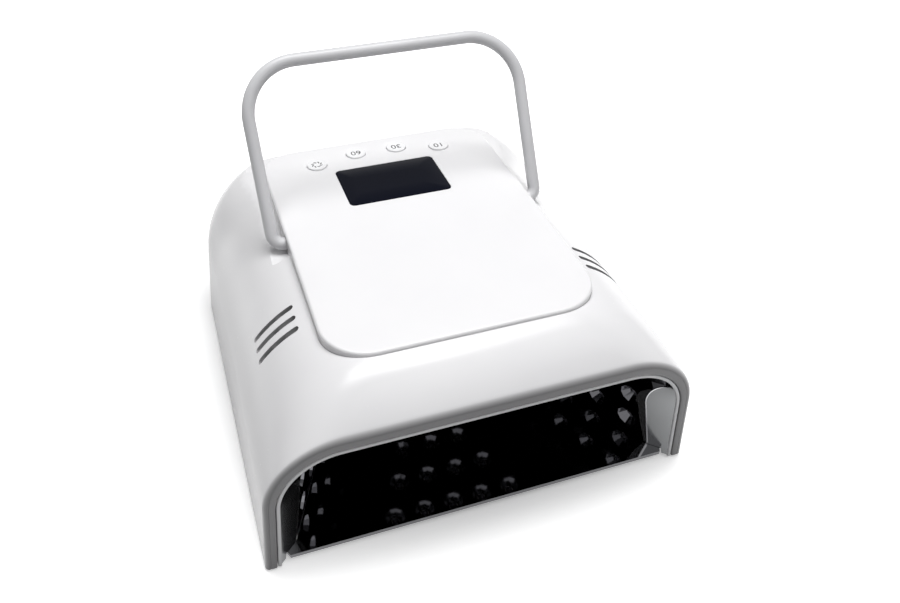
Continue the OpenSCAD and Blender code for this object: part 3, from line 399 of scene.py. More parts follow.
def slot_loop(y_mid, depth):
    """Edge of a slot as (v, y): a long ring with round ends in the plane of its chord, each point
    of it moved square to the chord until it meets the arc of the shoulder."""
    run = np.linalg.norm(slot_foot - slot_top)
    e = (slot_foot - slot_top) / run
    n = np.array([-e[1], e[0]])
    reach, bend = (run - slot_width) / 2, slot_width / 2
    a = np.radians(np.linspace(-90, 90, 9))
    side = np.linspace(reach, -reach, 9)[1:-1]
    t = np.concatenate([reach + bend * np.cos(a), side, -reach - bend * np.cos(a), -side])
    y = y_mid + np.concatenate([bend * np.sin(a), np.full(7, bend), -bend * np.sin(a),
                                np.full(7, -bend)])
    w, h, r, lean = shell_arch(y, depth)
    p = (slot_top + slot_foot) / 2 + t[:, None] * e - np.stack(corner_middle(w, h, r, lean), 1)
    along = p @ n
    p = p + (np.sqrt(along ** 2 - np.sum(p ** 2, 1) + r ** 2) - along)[:, None] * n
    turn = np.arctan2(p[:, 1], p[:, 0])
    return np.stack([50 + 100 * (pi / 2 - turn) / (pi / 2 - lean), y], 1)


def channel_edge(depth):
    """Edge of the right channel in the plan, from the middle of the rear: along the line where the
    shell sinks below the channel floor, round the channel's front corner and in to the plateau.
    The last y of the case at which the shell stands over the floor is found by halving."""
    floor_z, side, start = channel_floor - depth, channel_side + depth, channel_start - depth
    low, high = case_depth - rear_corner + 6, case_depth - depth
    for _ in range(40):
        middle = (low + high) / 2
        low, high = (middle, high) if skin_z(0.0, middle, depth) > floor_z else (low, middle)
    y_end, bend = low, channel_corner
    y = np.concatenate([start + bend - bend * np.cos(np.linspace(0, pi / 2, 9)),
                        start + bend + (y_end - 1e-4 - start - bend)
                        * np.sin(np.linspace(0, pi / 2, 60))[1:]])
    w, h, r, lean = shell_arch(y, depth)
    cx, cz = corner_middle(w, h, r, lean)
    crossing = cx + np.sqrt(np.maximum(r ** 2 - (floor_z - cz) ** 2, 0))
    end = side - bend + np.sqrt(np.maximum(bend ** 2 - np.maximum(start + bend - y, 0) ** 2, 0))
    x = np.minimum(crossing, end)
    flat_end = corner_middle(*shell_arch(y_end, depth))[0]
    tip = np.linspace(x[0], plateau_half - depth + (panel_seam if depth == 0 else 0.0), 5)[1:]
    return (np.concatenate([np.linspace(0, flat_end, 8), x[::-1], tip]),
            np.concatenate([np.full(8, y_end), y[::-1], np.full(4, start)]), y_end)


def skin(depth, spacing, edge_x, edge_y, front_x, front_y):
    """The skin, filled between the mouth, the foot of the wall, the rear, the channel's edge and
    the plateau's front, less the slots. Also the q of the foot's points and the slots' rings."""
    first, last = front_edge if depth == 0 else front_wall, case_depth - depth
    q_last, q_end, straight = skin_q(last, depth), skin_q(edge_y[0], depth), case_depth - rear_corner
    q_side = np.concatenate([np.linspace(first, straight, 45), np.linspace(straight, q_last, 16)[1:]])
    rear_seam = np.linspace(q_last, q_end, 8)[1:-1]
    front_seam = np.linspace(skin_q(front_y[-1], depth), first, 12)[1:-1]
    v = np.concatenate([v_row, np.full(len(q_side) - 1, 180.0), v_last[::-1][1:], 0 * rear_seam,
                        skin_v(edge_x, edge_y, depth), skin_v(front_x, front_y, depth)[1:],
                        0 * front_seam])
    q = np.concatenate([np.full(len(v_row), first), q_side[1:], np.full(len(v_last) - 1, q_last),
                        rear_seam, skin_q(edge_y, depth), skin_q(front_y, depth)[1:], front_seam])
    slots = [slot_loop(m, depth) for m in slot_places]
    points, faces = fill([np.stack([v, q], 1)] + slots, spacing)
    return (on_shell(points, depth), faces), q_side, [on_shell(slot, depth) for slot in slots]


def band(x, y, heights):
    """Upright band along a line of the plan through several heights, from the lowest up."""
    rows = np.stack([in_place(x, y, z) for z in heights])
    return rows, grid_faces(*rows.shape[:2])


def plate(loops, height, spacing=400):
    """Plate filled between loops of the plan, at a height or at a function of y."""
    p, f = fill(loops, spacing)
    return in_place(p[:, 0], p[:, 1], height(p[:, 1]) if callable(height) else height), f


def shell_half(depth, spacing):
    """Right half of the shell, the wall's depth below the outer skin: skin, walls of channel and
    plateau, channel floor and the deck under the panel."""
    outer, start, floor_z = depth == 0, channel_start - depth, channel_floor - depth
    drop = seam_depth if outer else 0.0
    edge_x, edge_y, y_end = channel_edge(depth)
    front_x, front_y = (q[::-1] for q in outline((panel_seam if outer else 0.0) - depth, 0, start))
    surface, q_side, rings = skin(depth, spacing, edge_x, edge_y, front_x, front_y)
    # Channel wall, from the floor up to the skin's edge
    top = np.where(edge_y >= y_end - 2e-4, floor_z, skin_z(edge_x, edge_y, depth))
    ledge = [np.maximum(top - drop, floor_z)] if outer else []
    patches = [surface, band(edge_x, edge_y, [np.full(len(top), floor_z), *ledge,
                                              np.maximum(top, floor_z)])]
    # Channel floor
    rear_x, rear_y = outline(-depth, start, 400)
    loop = np.stack([np.concatenate([edge_x, rear_x]), np.concatenate([edge_y, rear_y])], 1)
    patches.append(plate([loop[::-1]], floor_z))

    def seat(y):
        """Height of the deck at y."""
        return panel_height(y) - panel_thick - depth

    # Plateau wall: a narrow seam in front of the channels, and the full height beside them
    base_x, base_y = outline(-depth, 0, start)
    rim = skin_z(front_x[::-1], front_y[::-1], depth)
    rows = np.stack([in_place(front_x[::-1], front_y[::-1], rim),
                     in_place(front_x[::-1], front_y[::-1], rim - drop),
                     in_place(base_x, base_y, rim - drop), in_place(base_x, base_y, seat(base_y))])
    patches.append((rows, grid_faces(*rows.shape[:2])))
    step = rim[-1] - drop
    patches.append(band(rear_x, rear_y, [floor_z, step, seat(rear_y)]))
    if outer:
        patches.append((in_place(np.repeat([edge_x[-1], rear_x[0]], 2), start,
                                 np.array([floor_z, step, step, floor_z])), [(3, 2, 1, 0)]))
    # Deck under the panel, open under the display and the buttons
    bay_x, bay_y = [0, bay_half, bay_half, 0], [bay_rear, bay_rear, bay_front, bay_front]
    deck = np.stack([np.concatenate([base_x, rear_x[1:], bay_x]),
                     np.concatenate([base_y, rear_y[1:], bay_y])], 1)
    patches.append(plate([deck], seat))
    return patches, q_side, rings


def turned(patch):
    """The same patch facing the other way."""
    points, faces, *mask = patch
    return points, [tuple(reversed(tuple(f))) for f in faces], *mask


def mirrored(patch):
    """Image of a patch across x = 0."""
    points, faces, *mask = turned(patch)
    return np.asarray(points).reshape(-1, 3) * (-1, 1, 1), faces, *mask


def closed_strip(a, b):
    """Quads between two closed rings with the same number of points."""
    rows = np.stack([np.concatenate([a, a[:1]]), np.concatenate([b, b[:1]])])
    return rows, grid_faces(*rows.shape[:2])


outer, q_outer, outer_slots = shell_half(0.0, 4.2)
inner, q_inner, inner_slots = shell_half(wall, 9.0)
half = outer + [turned(p) for p in inner]
# Walls of the slots, with painted shade: grey from just below the skin
for deep, shallow in zip(inner_slots, outer_slots):
    middle = shallow + (deep - shallow) * 0.12
    half += [(*turned(closed_strip(deep, middle)), 0.6),
             (*turned(closed_strip(middle, shallow)), np.repeat([0.6, 0.0], len(deep) + 1))]
# Walls of the bay under the display
bay_y = np.array([bay_rear, bay_rear, bay_front, bay_front])
bay_top = panel_height(bay_y) - panel_thick
half.append(band([0, bay_half, bay_half, 0], bay_y, [bay_top - wall, bay_top]))
# Front edge: a quarter circle, then the bore of the mouth and the back of the front wall
turns = np.radians([75, 62, 50, 38, 26, 13, 0])
round_y = front_edge * (1 - np.sin(turns))
bore_x, bore_z = arch_point(v_row, *mouth_bore)
rows = [in_place(bore_x, y, bore_z) for y in (front_wall, bore_front)]
for y in round_y:
    x, z = arch_point(v_row, *shell_arch(np.full(len(v_row), y), 0.0))
    rows.append(in_place(x, y, z))
half.append((np.stack(rows), grid_faces(len(rows), len(v_row))))
x, z = arch_point(v_row, *shell_arch(np.full(len(v_row), front_wall), wall))
half.append((np.stack([in_place(x, front_wall, z), rows[0]]), grid_faces(2, len(v_row))))
# Underside of the wall
foot_y, in_y = rolled_y(q_outer, 0.0), rolled_y(q_inner, wall)
foot_x, in_x, round_x = (arch_point(np.full(len(y), 180.0), *shell_arch(y, depth))[0]
                         for y, depth in ((foot_y, 0.0), (in_y, wall), (round_y[:-1], 0.0)))
bore_foot = mouth_bore[0]
loop = np.stack([np.concatenate([[bore_foot, bore_foot], round_x, foot_x, [0, 0], in_x[::-1]]),
                 np.concatenate([[front_wall, bore_front], round_y[:-1], foot_y,
                                 [case_depth, case_depth - wall], in_y[::-1]])], 1)
half.append(turned(plate([loop], 0.0)))
patches = half + [mirrored(p) for p in half]
# Rear wall, with the hole of the power socket
a = np.radians(np.arange(0, 360, 12))
hole = np.stack([socket_middle[0] + socket_radius * np.cos(a),
                 socket_middle[1] + socket_radius * np.sin(a)], 1)
for y, depth in ((case_depth, 0.0), (case_depth - wall, wall)):
    x, z = arch_point(v_last, *shell_arch(np.full(len(v_last), y), depth))
    loop = np.stack([np.concatenate([x[::-1], -x[1:], [0]]), np.concatenate([z[::-1], z[1:], [0]])],
                    1)
    p, f = fill([loop, hole], 400)
    patch = (in_place(p[:, 0], y, p[:, 1]), f)
    patches.append(turned(patch) if depth == 0 else patch)
patches.append(closed_strip(*(in_place(hole[:, 0], y, hole[:, 1])
                              for y in (case_depth - wall, case_depth))))


def new_group(name, inputs, outputs):
    """Empty shader node group with named sockets: (name, kind, default) and (name, kind)."""
    tree = bpy.data.node_groups.new(name, "ShaderNodeTree")
    for label, kind, value in inputs:
        entry = tree.interface.new_socket(label, in_out="INPUT", socket_type="NodeSocket" + kind)
        entry.default_value = value
    for label, kind in outputs:
        tree.interface.new_socket(label, in_out="OUTPUT", socket_type="NodeSocket" + kind)
    return tree, tree.nodes.new("NodeGroupInput").outputs, tree.nodes.new("NodeGroupOutput").inputs


def surfaced(name, group, lift, values):
    """Material whose colour, roughness and relief come from a node group. lift is the height of
    the relief. Also the inputs of its Principled shader."""
    material = bpy.data.materials.new(name)
    material.use_nodes = True
    tree = material.node_tree
    finish = tree.nodes["Principled BSDF"].inputs
    skin_group = node(tree, "Group", node_tree=group, values=values).outputs
    bump = node(tree, "Bump", {"Height": skin_group["Height"]}, {"Strength": 1.0, "Distance": lift})
    for source, target in (("Colour", "Base Color"), ("Roughness", "Roughness")):
        if source in skin_group:
            tree.links.new(skin_group[source], finish[target])
    tree.links.new(bump.outputs[0], finish["Normal"])
    return material, finish


# Moulded skin: the slow waviness and fine grain of a moulding, faint handling haze and dust specks
moulding, given, result = new_group("moulded_skin", [
    ("Colour", "Color", (0.8, 0.8, 0.8, 1)), ("Shade", "Color", (0.7, 0.7, 0.7, 1)),
    ("Roughness", "Float", 0.2), ("Haze", "Float", 0.05), ("Grain size", "Float", 0.0006),
    ("Grain", "Float", 0.2), ("Wave", "Float", 0.5), ("Specks", "Float", 0.1)],
    [("Colour", "Color"), ("Roughness", "Float"), ("Height", "Float")])
where = node(moulding, "TexCoord").outputs["Object"]
slow = node(moulding, "TexNoise", {"Vector": where}, {"Scale": 22.0, "Detail": 3.0}).outputs[0]
fine = node(moulding, "TexNoise",
            {"Vector": where, "Scale": maths(moulding, "DIVIDE", 1.0, given["Grain size"])},
            {"Detail": 2.0, "Roughness": 0.6}).outputs[0]
dust = node(moulding, "TexVoronoi", {"Vector": where}, {"Scale": 260.0, "Randomness": 1.0})
thin = node(moulding, "TexNoise", {"Vector": where}, {"Scale": 47.0, "Detail": 1.0})
rare = maths(moulding, "MULTIPLY", remap(moulding, dust.outputs["Distance"], 0.05, 0.09, 1.0, 0.0),
             remap(moulding, thin.outputs[0], 0.55, 0.72, 0.0, 1.0))
fleck = maths(moulding, "MULTIPLY", rare, given["Specks"])
dirt = maths(moulding, "ADD", remap(moulding, slow, 0.35, 0.65, 0.0, 0.5), fleck, use_clamp=True)
tone = node(moulding, "Mix", {"Factor": dirt, "A": given["Colour"], "B": given["Shade"]},
            data_type="RGBA")
rough = maths(moulding, "ADD", given["Roughness"], maths(moulding, "MULTIPLY", slow, given["Haze"]))
height = maths(moulding, "ADD", maths(moulding, "MULTIPLY", slow, given["Wave"]),
               maths(moulding, "MULTIPLY", fine, given["Grain"]))
moulding.links.new(tone.outputs["Result"], result["Colour"])
moulding.links.new(maths(moulding, "ADD", fleck, rough), result["Roughness"])
moulding.links.new(height, result["Height"])


def moulded(name, colour, shade, roughness, haze=0.05, grain_size=0.0006, grain=0.2, wave=0.5,
            specks=0.1, lift=0.00002, specular=0.5):
    """Plastic, rubber or paint with the moulded skin."""
    material, finish = surfaced(name, moulding, lift, {
        "Colour": (*colour, 1), "Shade": (*shade, 1), "Roughness": roughness, "Haze": haze,
        "Grain size": grain_size, "Grain": grain, "Wave": wave, "Specks": specks})
    finish["Specular IOR Level"].default_value = specular
    return material


gloss_white = moulded("gloss_white", (0.845, 0.84, 0.85), (0.80, 0.795, 0.81), 0.22, haze=0.06,
                      grain=0.06, wave=1.0, specks=0.25, lift=0.00006, specular=0.38)
# Painted shade: the rounded front edge of the mouth is greyed like the trim ring, with a soft upper
# limit, and so are the walls of the slots, where shade falls
tree = gloss_white.node_tree
painted_shade_rear, painted_shade_full = -0.1112, -0.11295
depth_at = node(tree, "SeparateXYZ", {0: node(tree, "TexCoord").outputs["Object"]}).outputs["Y"]
in_slot = node(tree, "Attribute", attribute_type="GEOMETRY", attribute_name="mask").outputs["Fac"]
edge_painted_shade = maths(tree, "MAXIMUM", remap(tree, depth_at, painted_shade_rear, painted_shade_full, 0.0, 1.0), in_slot)
base_colour = tree.nodes["Principled BSDF"].inputs["Base Color"]
# The grey of the painted shade, the same as the trim ring's
painted_shade_tone = node(tree, "Mix", {"Factor": edge_painted_shade, "A": base_colour.links[0].from_socket},
                 {"B": (0.225, 0.222, 0.228, 1)}, data_type="RGBA")
tree.links.new(painted_shade_tone.outputs["Result"], base_colour)
shell = build("upper_shell", patches, gloss_white)
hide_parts("upper_housing")


# Control panel
# A crowned lid in satin white plastic, 2.2 mm thick, screwed to the plateau from below. Its upper
# edge is rounded, and it has a recess for the window and four round holes for the buttons.
panel_edge, hole_edge = 1.4, 0.25
window_middle, window_half, window_reach, window_corner = 163.6, 29.2, 19.75, 3.0
window_thick, window_land, window_gap = 1.2, 2.2, 0.15
button_radius, button_space = 5.8, 0.3
button_at = [(-37.5, 193.3), (-12.5, 199.7), (12.5, 199.7), (37.5, 193.3)]


def panel_loop(grow):
    """Whole outline of the panel, counter-clockwise from the middle of its front edge."""
    x, y = outline(grow, 0, 400)
    return np.stack([np.concatenate([x, -x[::-1][1:-1]]), np.concatenate([y, y[::-1][1:-1]])], 1)


def window_loop(grow):
    """Rectangle with round corners around the middle of the window, counter-clockwise."""
    r = window_corner + grow
    a = np.radians(np.linspace(0, 90, 7))
    corner = np.stack([np.cos(a), np.sin(a)], 1) * r
    hx, hy = window_half + grow - r, window_reach + grow - r
    turns = [corner, corner[::-1] * (-1, 1), corner * (-1, -1), corner[::-1] * (1, -1)]
    loop = np.concatenate([t + m for t, m in zip(turns, ((hx, hy), (-hx, hy), (-hx, -hy), (hx, -hy)))])
    return loop + (0, window_middle)


def ring_loop(centre, radius):
    """Circle of the plan with 40 points, counter-clockwise."""
    a = np.linspace(0, 2 * pi, 40, endpoint=False)
    return np.stack([centre[0] + radius * np.cos(a), centre[1] + radius * np.sin(a)], 1)


def on_panel(loop, lift):
    """Loop of the plan laid at a height above the panel's upper surface."""
    return in_place(loop[:, 0], loop[:, 1], panel_height(loop[:, 1]) + lift)


def skirt(loops_and_lifts):
    """Band through closed loops with equal numbers of points, each at its own lift."""
    rows = np.stack([on_panel(np.concatenate([loop, loop[:1]]), lift)
                     for loop, lift in loops_and_lifts])
    return rows, grid_faces(*rows.shape[:2])


def panel_base(y):
    """Lower face of the panel."""
    return panel_height(y) - panel_thick


# The rounded outer edge, then the upper face, the walls of the holes and the lower face
patches = [skirt([(panel_loop(0), -panel_thick)]
                 + [(panel_loop(-panel_edge * (1 - cos(t))), -panel_edge * (1 - sin(t)))
                    for t in np.radians(np.linspace(0, 90, 6))])]
bore = button_radius + button_space
holes = [(window_loop(window_gap), window_loop(window_gap + hole_edge))]
holes += [(ring_loop(c, bore), ring_loop(c, bore + hole_edge)) for c in button_at]
patches.append(plate([panel_loop(-panel_edge)] + [wide for _, wide in holes], panel_height, 5.5))
land = window_loop(-window_land)
for k, (tight, wide) in enumerate(holes):
    below = [(tight, -window_thick), (land, -window_thick)] if k == 0 else []
    patches.append(skirt([(wide, 0), ((tight + wide) / 2, -0.05), (tight, -hole_edge), *below,
                          (land if below else tight, -panel_thick)]))
patches.append(turned(plate([panel_loop(0), land] + [tight for tight, _ in holes[1:]], panel_base,
                            12)))
satin_white = moulded("satin_white", (0.865, 0.86, 0.87), (0.83, 0.825, 0.84), 0.30, haze=0.08,
                      grain_size=0.0004, grain=0.25, wave=0.3, specks=0.2, lift=0.00004)
panel = build("panel_lid", patches, satin_white)
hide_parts("control_panel")


# Display window
# A smoked acrylic plate, 1.2 mm thick, glued on the land of the panel so that it lies flush. Its
# edge is polished round.
polish = 0.32
patches = [skirt([(window_loop(0), -window_thick), (window_loop(0), -0.3),
                  (window_loop(-0.1), -0.09), (window_loop(-polish), 0.0)]),
           plate([window_loop(-polish)], panel_height, 9),
           turned(plate([window_loop(0)], lambda y: panel_height(y) - window_thick))]
smoked_glass = moulded("smoked_glass", (0.0045, 0.0055, 0.0115), (0.006, 0.007, 0.013), 0.05,
                       haze=0.02, grain=0.0, wave=0.6, specks=0.05, lift=0.00002, specular=0.02)
glass = build("display_glass", patches, smoked_glass)
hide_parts("display_window")


# Push buttons
# Four round caps in white plastic, shallowly dished, held under the panel by their flanges. Each
# carries a small grey mark: a sun for the mode, and the seconds of the timer on the others.
cap_proud, cap_flange, flange_radius, cap_edge = 0.9, 0.8, 6.8, 0.45
dish_radius, dish_depth = 60.0, 0.28
numeral_size, mark_lift, ink_thick = 6.4, 0.03, 0.05


def dish(r):
    """Height of the cap's dished top over the panel: a sphere with its lowest point in the middle."""
    return cap_proud - dish_depth + dish_radius - np.sqrt(dish_radius ** 2 - r ** 2)


def cap(centre):
    """Cap turned from its profile: flange, side, rounded edge and dish."""
    a = np.radians(np.linspace(0, 80, 5))[1:]
    inner_r = np.linspace(5.2, 0.6, 8)
    r = np.concatenate([[flange_radius, flange_radius, button_radius, button_radius],
                        button_radius - cap_edge + cap_edge * np.cos(a), inner_r])
    z = np.concatenate([[-panel_thick - cap_flange, -panel_thick, -panel_thick,
                         cap_proud - cap_edge], cap_proud - cap_edge + cap_edge * np.sin(a),
                        dish(inner_r)])
    turn = np.linspace(0, 2 * pi, 49)
    x = centre[0] + r[:, None] * np.cos(turn)
    y = centre[1] + r[:, None] * np.sin(turn)
    rows = in_place(x, y, panel_height(y) + z[:, None])
    ends = tuple(range(48))
    return [(rows, grid_faces(*rows.shape[:2])), (rows[-1, :-1], [ends]),
            (rows[0, :-1], [ends[::-1]])]


def printed(points, faces):
    """Closed print: a sheet, its copy the ink's thickness below and walls along its open edges."""
    points = np.asarray(points).reshape(-1, 3)
    n = len(points)
    edges = {(a, b) for f in faces for a, b in zip(f, (*f[1:], f[0]))}
    walls = [(b, a, a + n, b + n) for a, b in edges if (b, a) not in edges]
    under = [tuple(i + n for i in reversed(tuple(f))) for f in faces]
    return np.concatenate([points, points - (0, 0, ink_thick / 1000)]), list(faces) + under + walls


def seconds_mark(text, centre):
    """Plain numerals that read from behind the case, turned by half, laid on the dish."""
    words = bpy.data.curves.new("mark_" + text, "FONT")
    words.body = text
    words.size = numeral_size
    words.align_x, words.align_y = "CENTER", "CENTER"
    holder = bpy.data.objects.new("mark_" + text, words)
    flat = bpy.data.meshes.new_from_object(holder)
    bpy.data.objects.remove(holder)
    p = np.zeros(len(flat.vertices) * 3)
    flat.vertices.foreach_get("co", p)
    px, py = -p.reshape(-1, 3)[:, :2].T
    y = centre[1] + py
    z = panel_height(y) + dish(np.hypot(px, py)) + mark_lift
    return [printed(in_place(centre[0] + px, y, z), [tuple(f.vertices) for f in flat.polygons])]


def sun_mark(centre):
    """Eight short blades round the middle, each of even width and turned a little with its radius."""
    patches = []
    r, half_blade, twist = np.array([[1.9], [2.6], [3.3]]), 0.48, 0.3
    for k in range(8):
        t = k * pi / 4 + (r - r[0]) * twist + np.array([half_blade, 0, -half_blade]) / r
        x, y = centre[0] + r * np.cos(t), centre[1] + r * np.sin(t)
        rows = in_place(x, y, panel_height(y) + dish(r) + mark_lift)
        patches.append(printed(rows, [tuple(f) for f in grid_faces(3, 3).tolist()]))
    return patches


cap_white = moulded("cap_white", (0.91, 0.91, 0.92), (0.87, 0.87, 0.885), 0.22, haze=0.05,
                    grain=0.1, wave=0.4, specks=0.1, lift=0.00003)
grey_ink = moulded("grey_ink", (0.035, 0.035, 0.038), (0.05, 0.05, 0.055), 0.5, grain=0.3, wave=0.1,
                   specks=0.2, lift=0.00001)
for key, centre in zip(("mode", "60", "30", "10"), button_at):
    knob = build("cap_" + key, cap(centre), cap_white, "key_" + key)
    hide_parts("button_" + key)
    mark = build("mark_on_" + key, sun_mark(centre) if key == "mode" else seconds_mark(key, centre),
                 grey_ink, "key_" + key)


# Trim ring of the mouth
# A moulding clipped into the front wall of the shell, coloured dark grey as painted shade for a front
# face in shade. Its face is flat, with a small round on the outer edge and a larger one towards the
# lip.
ring_outer = (110.4, 77.6, 35.8, mouth_lean)
ring_inner = (107.3, 73.2, 32.9, mouth_lean)


def swept_arch(profile, outer_arch, inner_arch):
    """Closed profile of (s, y) points carried along an arch: s runs from the outer arch to the
    inner one, y is the depth, and each point of the arch is a blend of the two."""
    ox, oz = arch_point(v_row, *outer_arch)
    ix, iz = arch_point(v_row, *inner_arch)
    s, y = np.array(profile).T[:, :, None]
    rows = in_place(ox * (1 - s) + ix * s, y, oz * (1 - s) + iz * s)
    foot = rows[1:, -1]
    half = [(rows, grid_faces(*rows.shape[:2])), (foot, [tuple(reversed(range(len(foot))))])]
    return half + [mirrored(p) for p in half]


ring_profile = [(1, front_wall), (1, 0.7), (0.97, 0.35), (0.9, 0.12), (0.75, 0.02), (0.5, 0.0),
                (0.15, 0.0), (0.04, 0.03), (0, 0.12), (0, 0.5), (0, front_wall), (1, front_wall)]
# Its grey is painted shade over the whole ring
trim_painted_shade = moulded("band_grey", (0.235, 0.232, 0.238), (0.205, 0.202, 0.208), 0.34, haze=0.1,
                    grain_size=0.0005, grain=0.35, wave=0.3, specks=0.4, lift=0.00004)
trim = build("trim_ring", swept_arch(ring_profile, ring_outer, ring_inner), trim_painted_shade)
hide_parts("front_bezel")


# Lip of the mouth
# The pale grey front of the moulding behind the trim ring: a rounded lip round the opening, and
# the flange behind it that carries the reflector. Its cheeks are coated, and follow below.
lip_outer = (106.95, 72.85, 32.5, mouth_lean)
lip_inner = (105.05, 70.95, 30.6, mouth_lean)
flange_outer = (110.1, 79.7, 42.0, mouth_lean)
lip_rear, flange_front, flange_edge = 5.0, 3.45, 0.95
lip_profile = [(1, lip_rear), (1, 0.9), (0.93, 0.55), (0.78, 0.4), (0.5, 0.36), (0.22, 0.4),
               (0.07, 0.55), (0, 0.9), (0, lip_rear), (1, lip_rear)]
flange_profile = [(flange_edge, lip_rear), (flange_edge, flange_front), (0, flange_front),
                  (0, lip_rear), (flange_edge, lip_rear)]
patches = swept_arch(lip_profile, lip_outer, lip_inner)
patches += swept_arch(flange_profile, flange_outer, lip_outer)
pale_grey = moulded("pale_grey", (0.90, 0.90, 0.91), (0.84, 0.84, 0.855), 0.22, haze=0.1,
                    grain=0.15, wave=0.6, specks=0.2, lift=0.00004)
lip = build("mouth_lip", patches, pale_grey, sharp=50)
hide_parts("mouth_collar")


# Mirrored cheeks, cavity and tray
# The cheeks of the mouth and the dark moulding behind them, with its thumb walls, finger walls,
# rounded back and a ceiling full of lamp holes, are coated with mirror film, and so is the tray.
mirror, given, result = new_group("mirror_film", [
    ("Tint", "Color", (0.2, 0.2, 0.21, 1)), ("Dull", "Color", (0.1, 0.1, 0.1, 1)),
    ("Roughness", "Float", 0.04), ("Smear", "Float", 0.1), ("Scratches", "Float", 0.2)],
    [("Colour", "Color"), ("Roughness", "Float"), ("Height", "Float")])
where = node(mirror, "TexCoord").outputs["Object"]
cloud = node(mirror, "TexNoise", {"Vector": where}, {"Scale": 26.0, "Detail": 4.0}).outputs[0]
drawn_out = node(mirror, "Mapping", {"Vector": where},
                 {"Rotation": (0, 0, 0.5), "Scale": (12, 520, 60)})
line = node(mirror, "TexNoise", {"Vector": drawn_out.outputs[0]}, {"Scale": 3.0, "Detail": 1.0})
scratch = maths(mirror, "MULTIPLY", remap(mirror, line.outputs[0], 0.68, 0.76, 0.0, 1.0),
                given["Scratches"])
smear = maths(mirror, "MULTIPLY", cloud, given["Smear"])
worn = maths(mirror, "ADD", scratch, smear, use_clamp=True)
tone = node(mirror, "Mix", {"Factor": worn, "A": given["Tint"], "B": given["Dull"]},
            data_type="RGBA")
mirror.links.new(tone.outputs["Result"], result["Colour"])
mirror.links.new(maths(mirror, "ADD", maths(mirror, "MULTIPLY", worn, 0.5), given["Roughness"]),
                 result["Roughness"])
mirror.links.new(cloud, result["Height"])


def mirrored_film(name, tint, dull, roughness, smear=0.1, scratches=0.2):
    """Metal or mirror coating with smears and hairlines."""
    material, finish = surfaced(name, mirror, 0.00002, {
        "Tint": (*tint, 1), "Dull": (*dull, 1), "Roughness": roughness, "Smear": smear,
        "Scratches": scratches})
    finish["Metallic"].default_value = 1.0
    return material


def dress(name, material):
    """Gives a CAD node its material in every slot."""
    slots = nodes[name].data.materials
    if len(slots) == 0:
        slots.append(material)
    for i in range(len(slots)):
        slots[i] = material


smoky_mirror = mirrored_film("smoky_mirror", (0.25, 0.255, 0.26), (0.21, 0.21, 0.215), 0.15,
                             scratches=0.1)
# Painted highlight: along the ridge the film's colour is made light, the strip behind it gets half of
# that, and behind the ridge the film is thin over the moulding
tree = smoky_mirror.node_tree
bsdf = tree.nodes["Principled BSDF"]
mask = node(tree, "Attribute", attribute_type="GEOMETRY", attribute_name="mask")
base_colour = bsdf.inputs["Base Color"]
painted_highlight = node(tree, "Mix", {"Factor": mask.outputs["Fac"], "A": base_colour.links[0].from_socket},
              {"B": (0.95, 0.95, 0.96, 1)}, data_type="RGBA")
thin = node(tree, "ValToRGB", {"Fac": mask.outputs["Fac"]})
thin.color_ramp.elements.new(0.5)
for stop, level in zip(thin.color_ramp.elements, (1.0, 0.84, 1.0)):
    stop.color = (level, level, level, 1)
tree.links.new(painted_highlight.outputs["Result"], base_colour)
tree.links.new(thin.outputs["Color"], bsdf.inputs["Metallic"])
# Each cheek is a plane that turns in from the lip, rounded over at a ridge, and a strip from there
# to the thumb wall
cheek_turn, cheek_bottom, strip_depth, film_step = radians(43.5), 4.4, 4.1, (0.9, 0.35)
foot_drop, foot_front = 4.1, 3.7


def cheek_point(s, d, z):
    """Points of the cheek: s along a plane that turns in from the lip and leans with the wall, d
    behind that plane, z up."""
    x = lip_inner[0] - z * tan(mouth_lean) - s * sin(cheek_turn) + d * cos(cheek_turn)
    return np.stack([x, s * cos(cheek_turn) + d * sin(cheek_turn), z], 1)


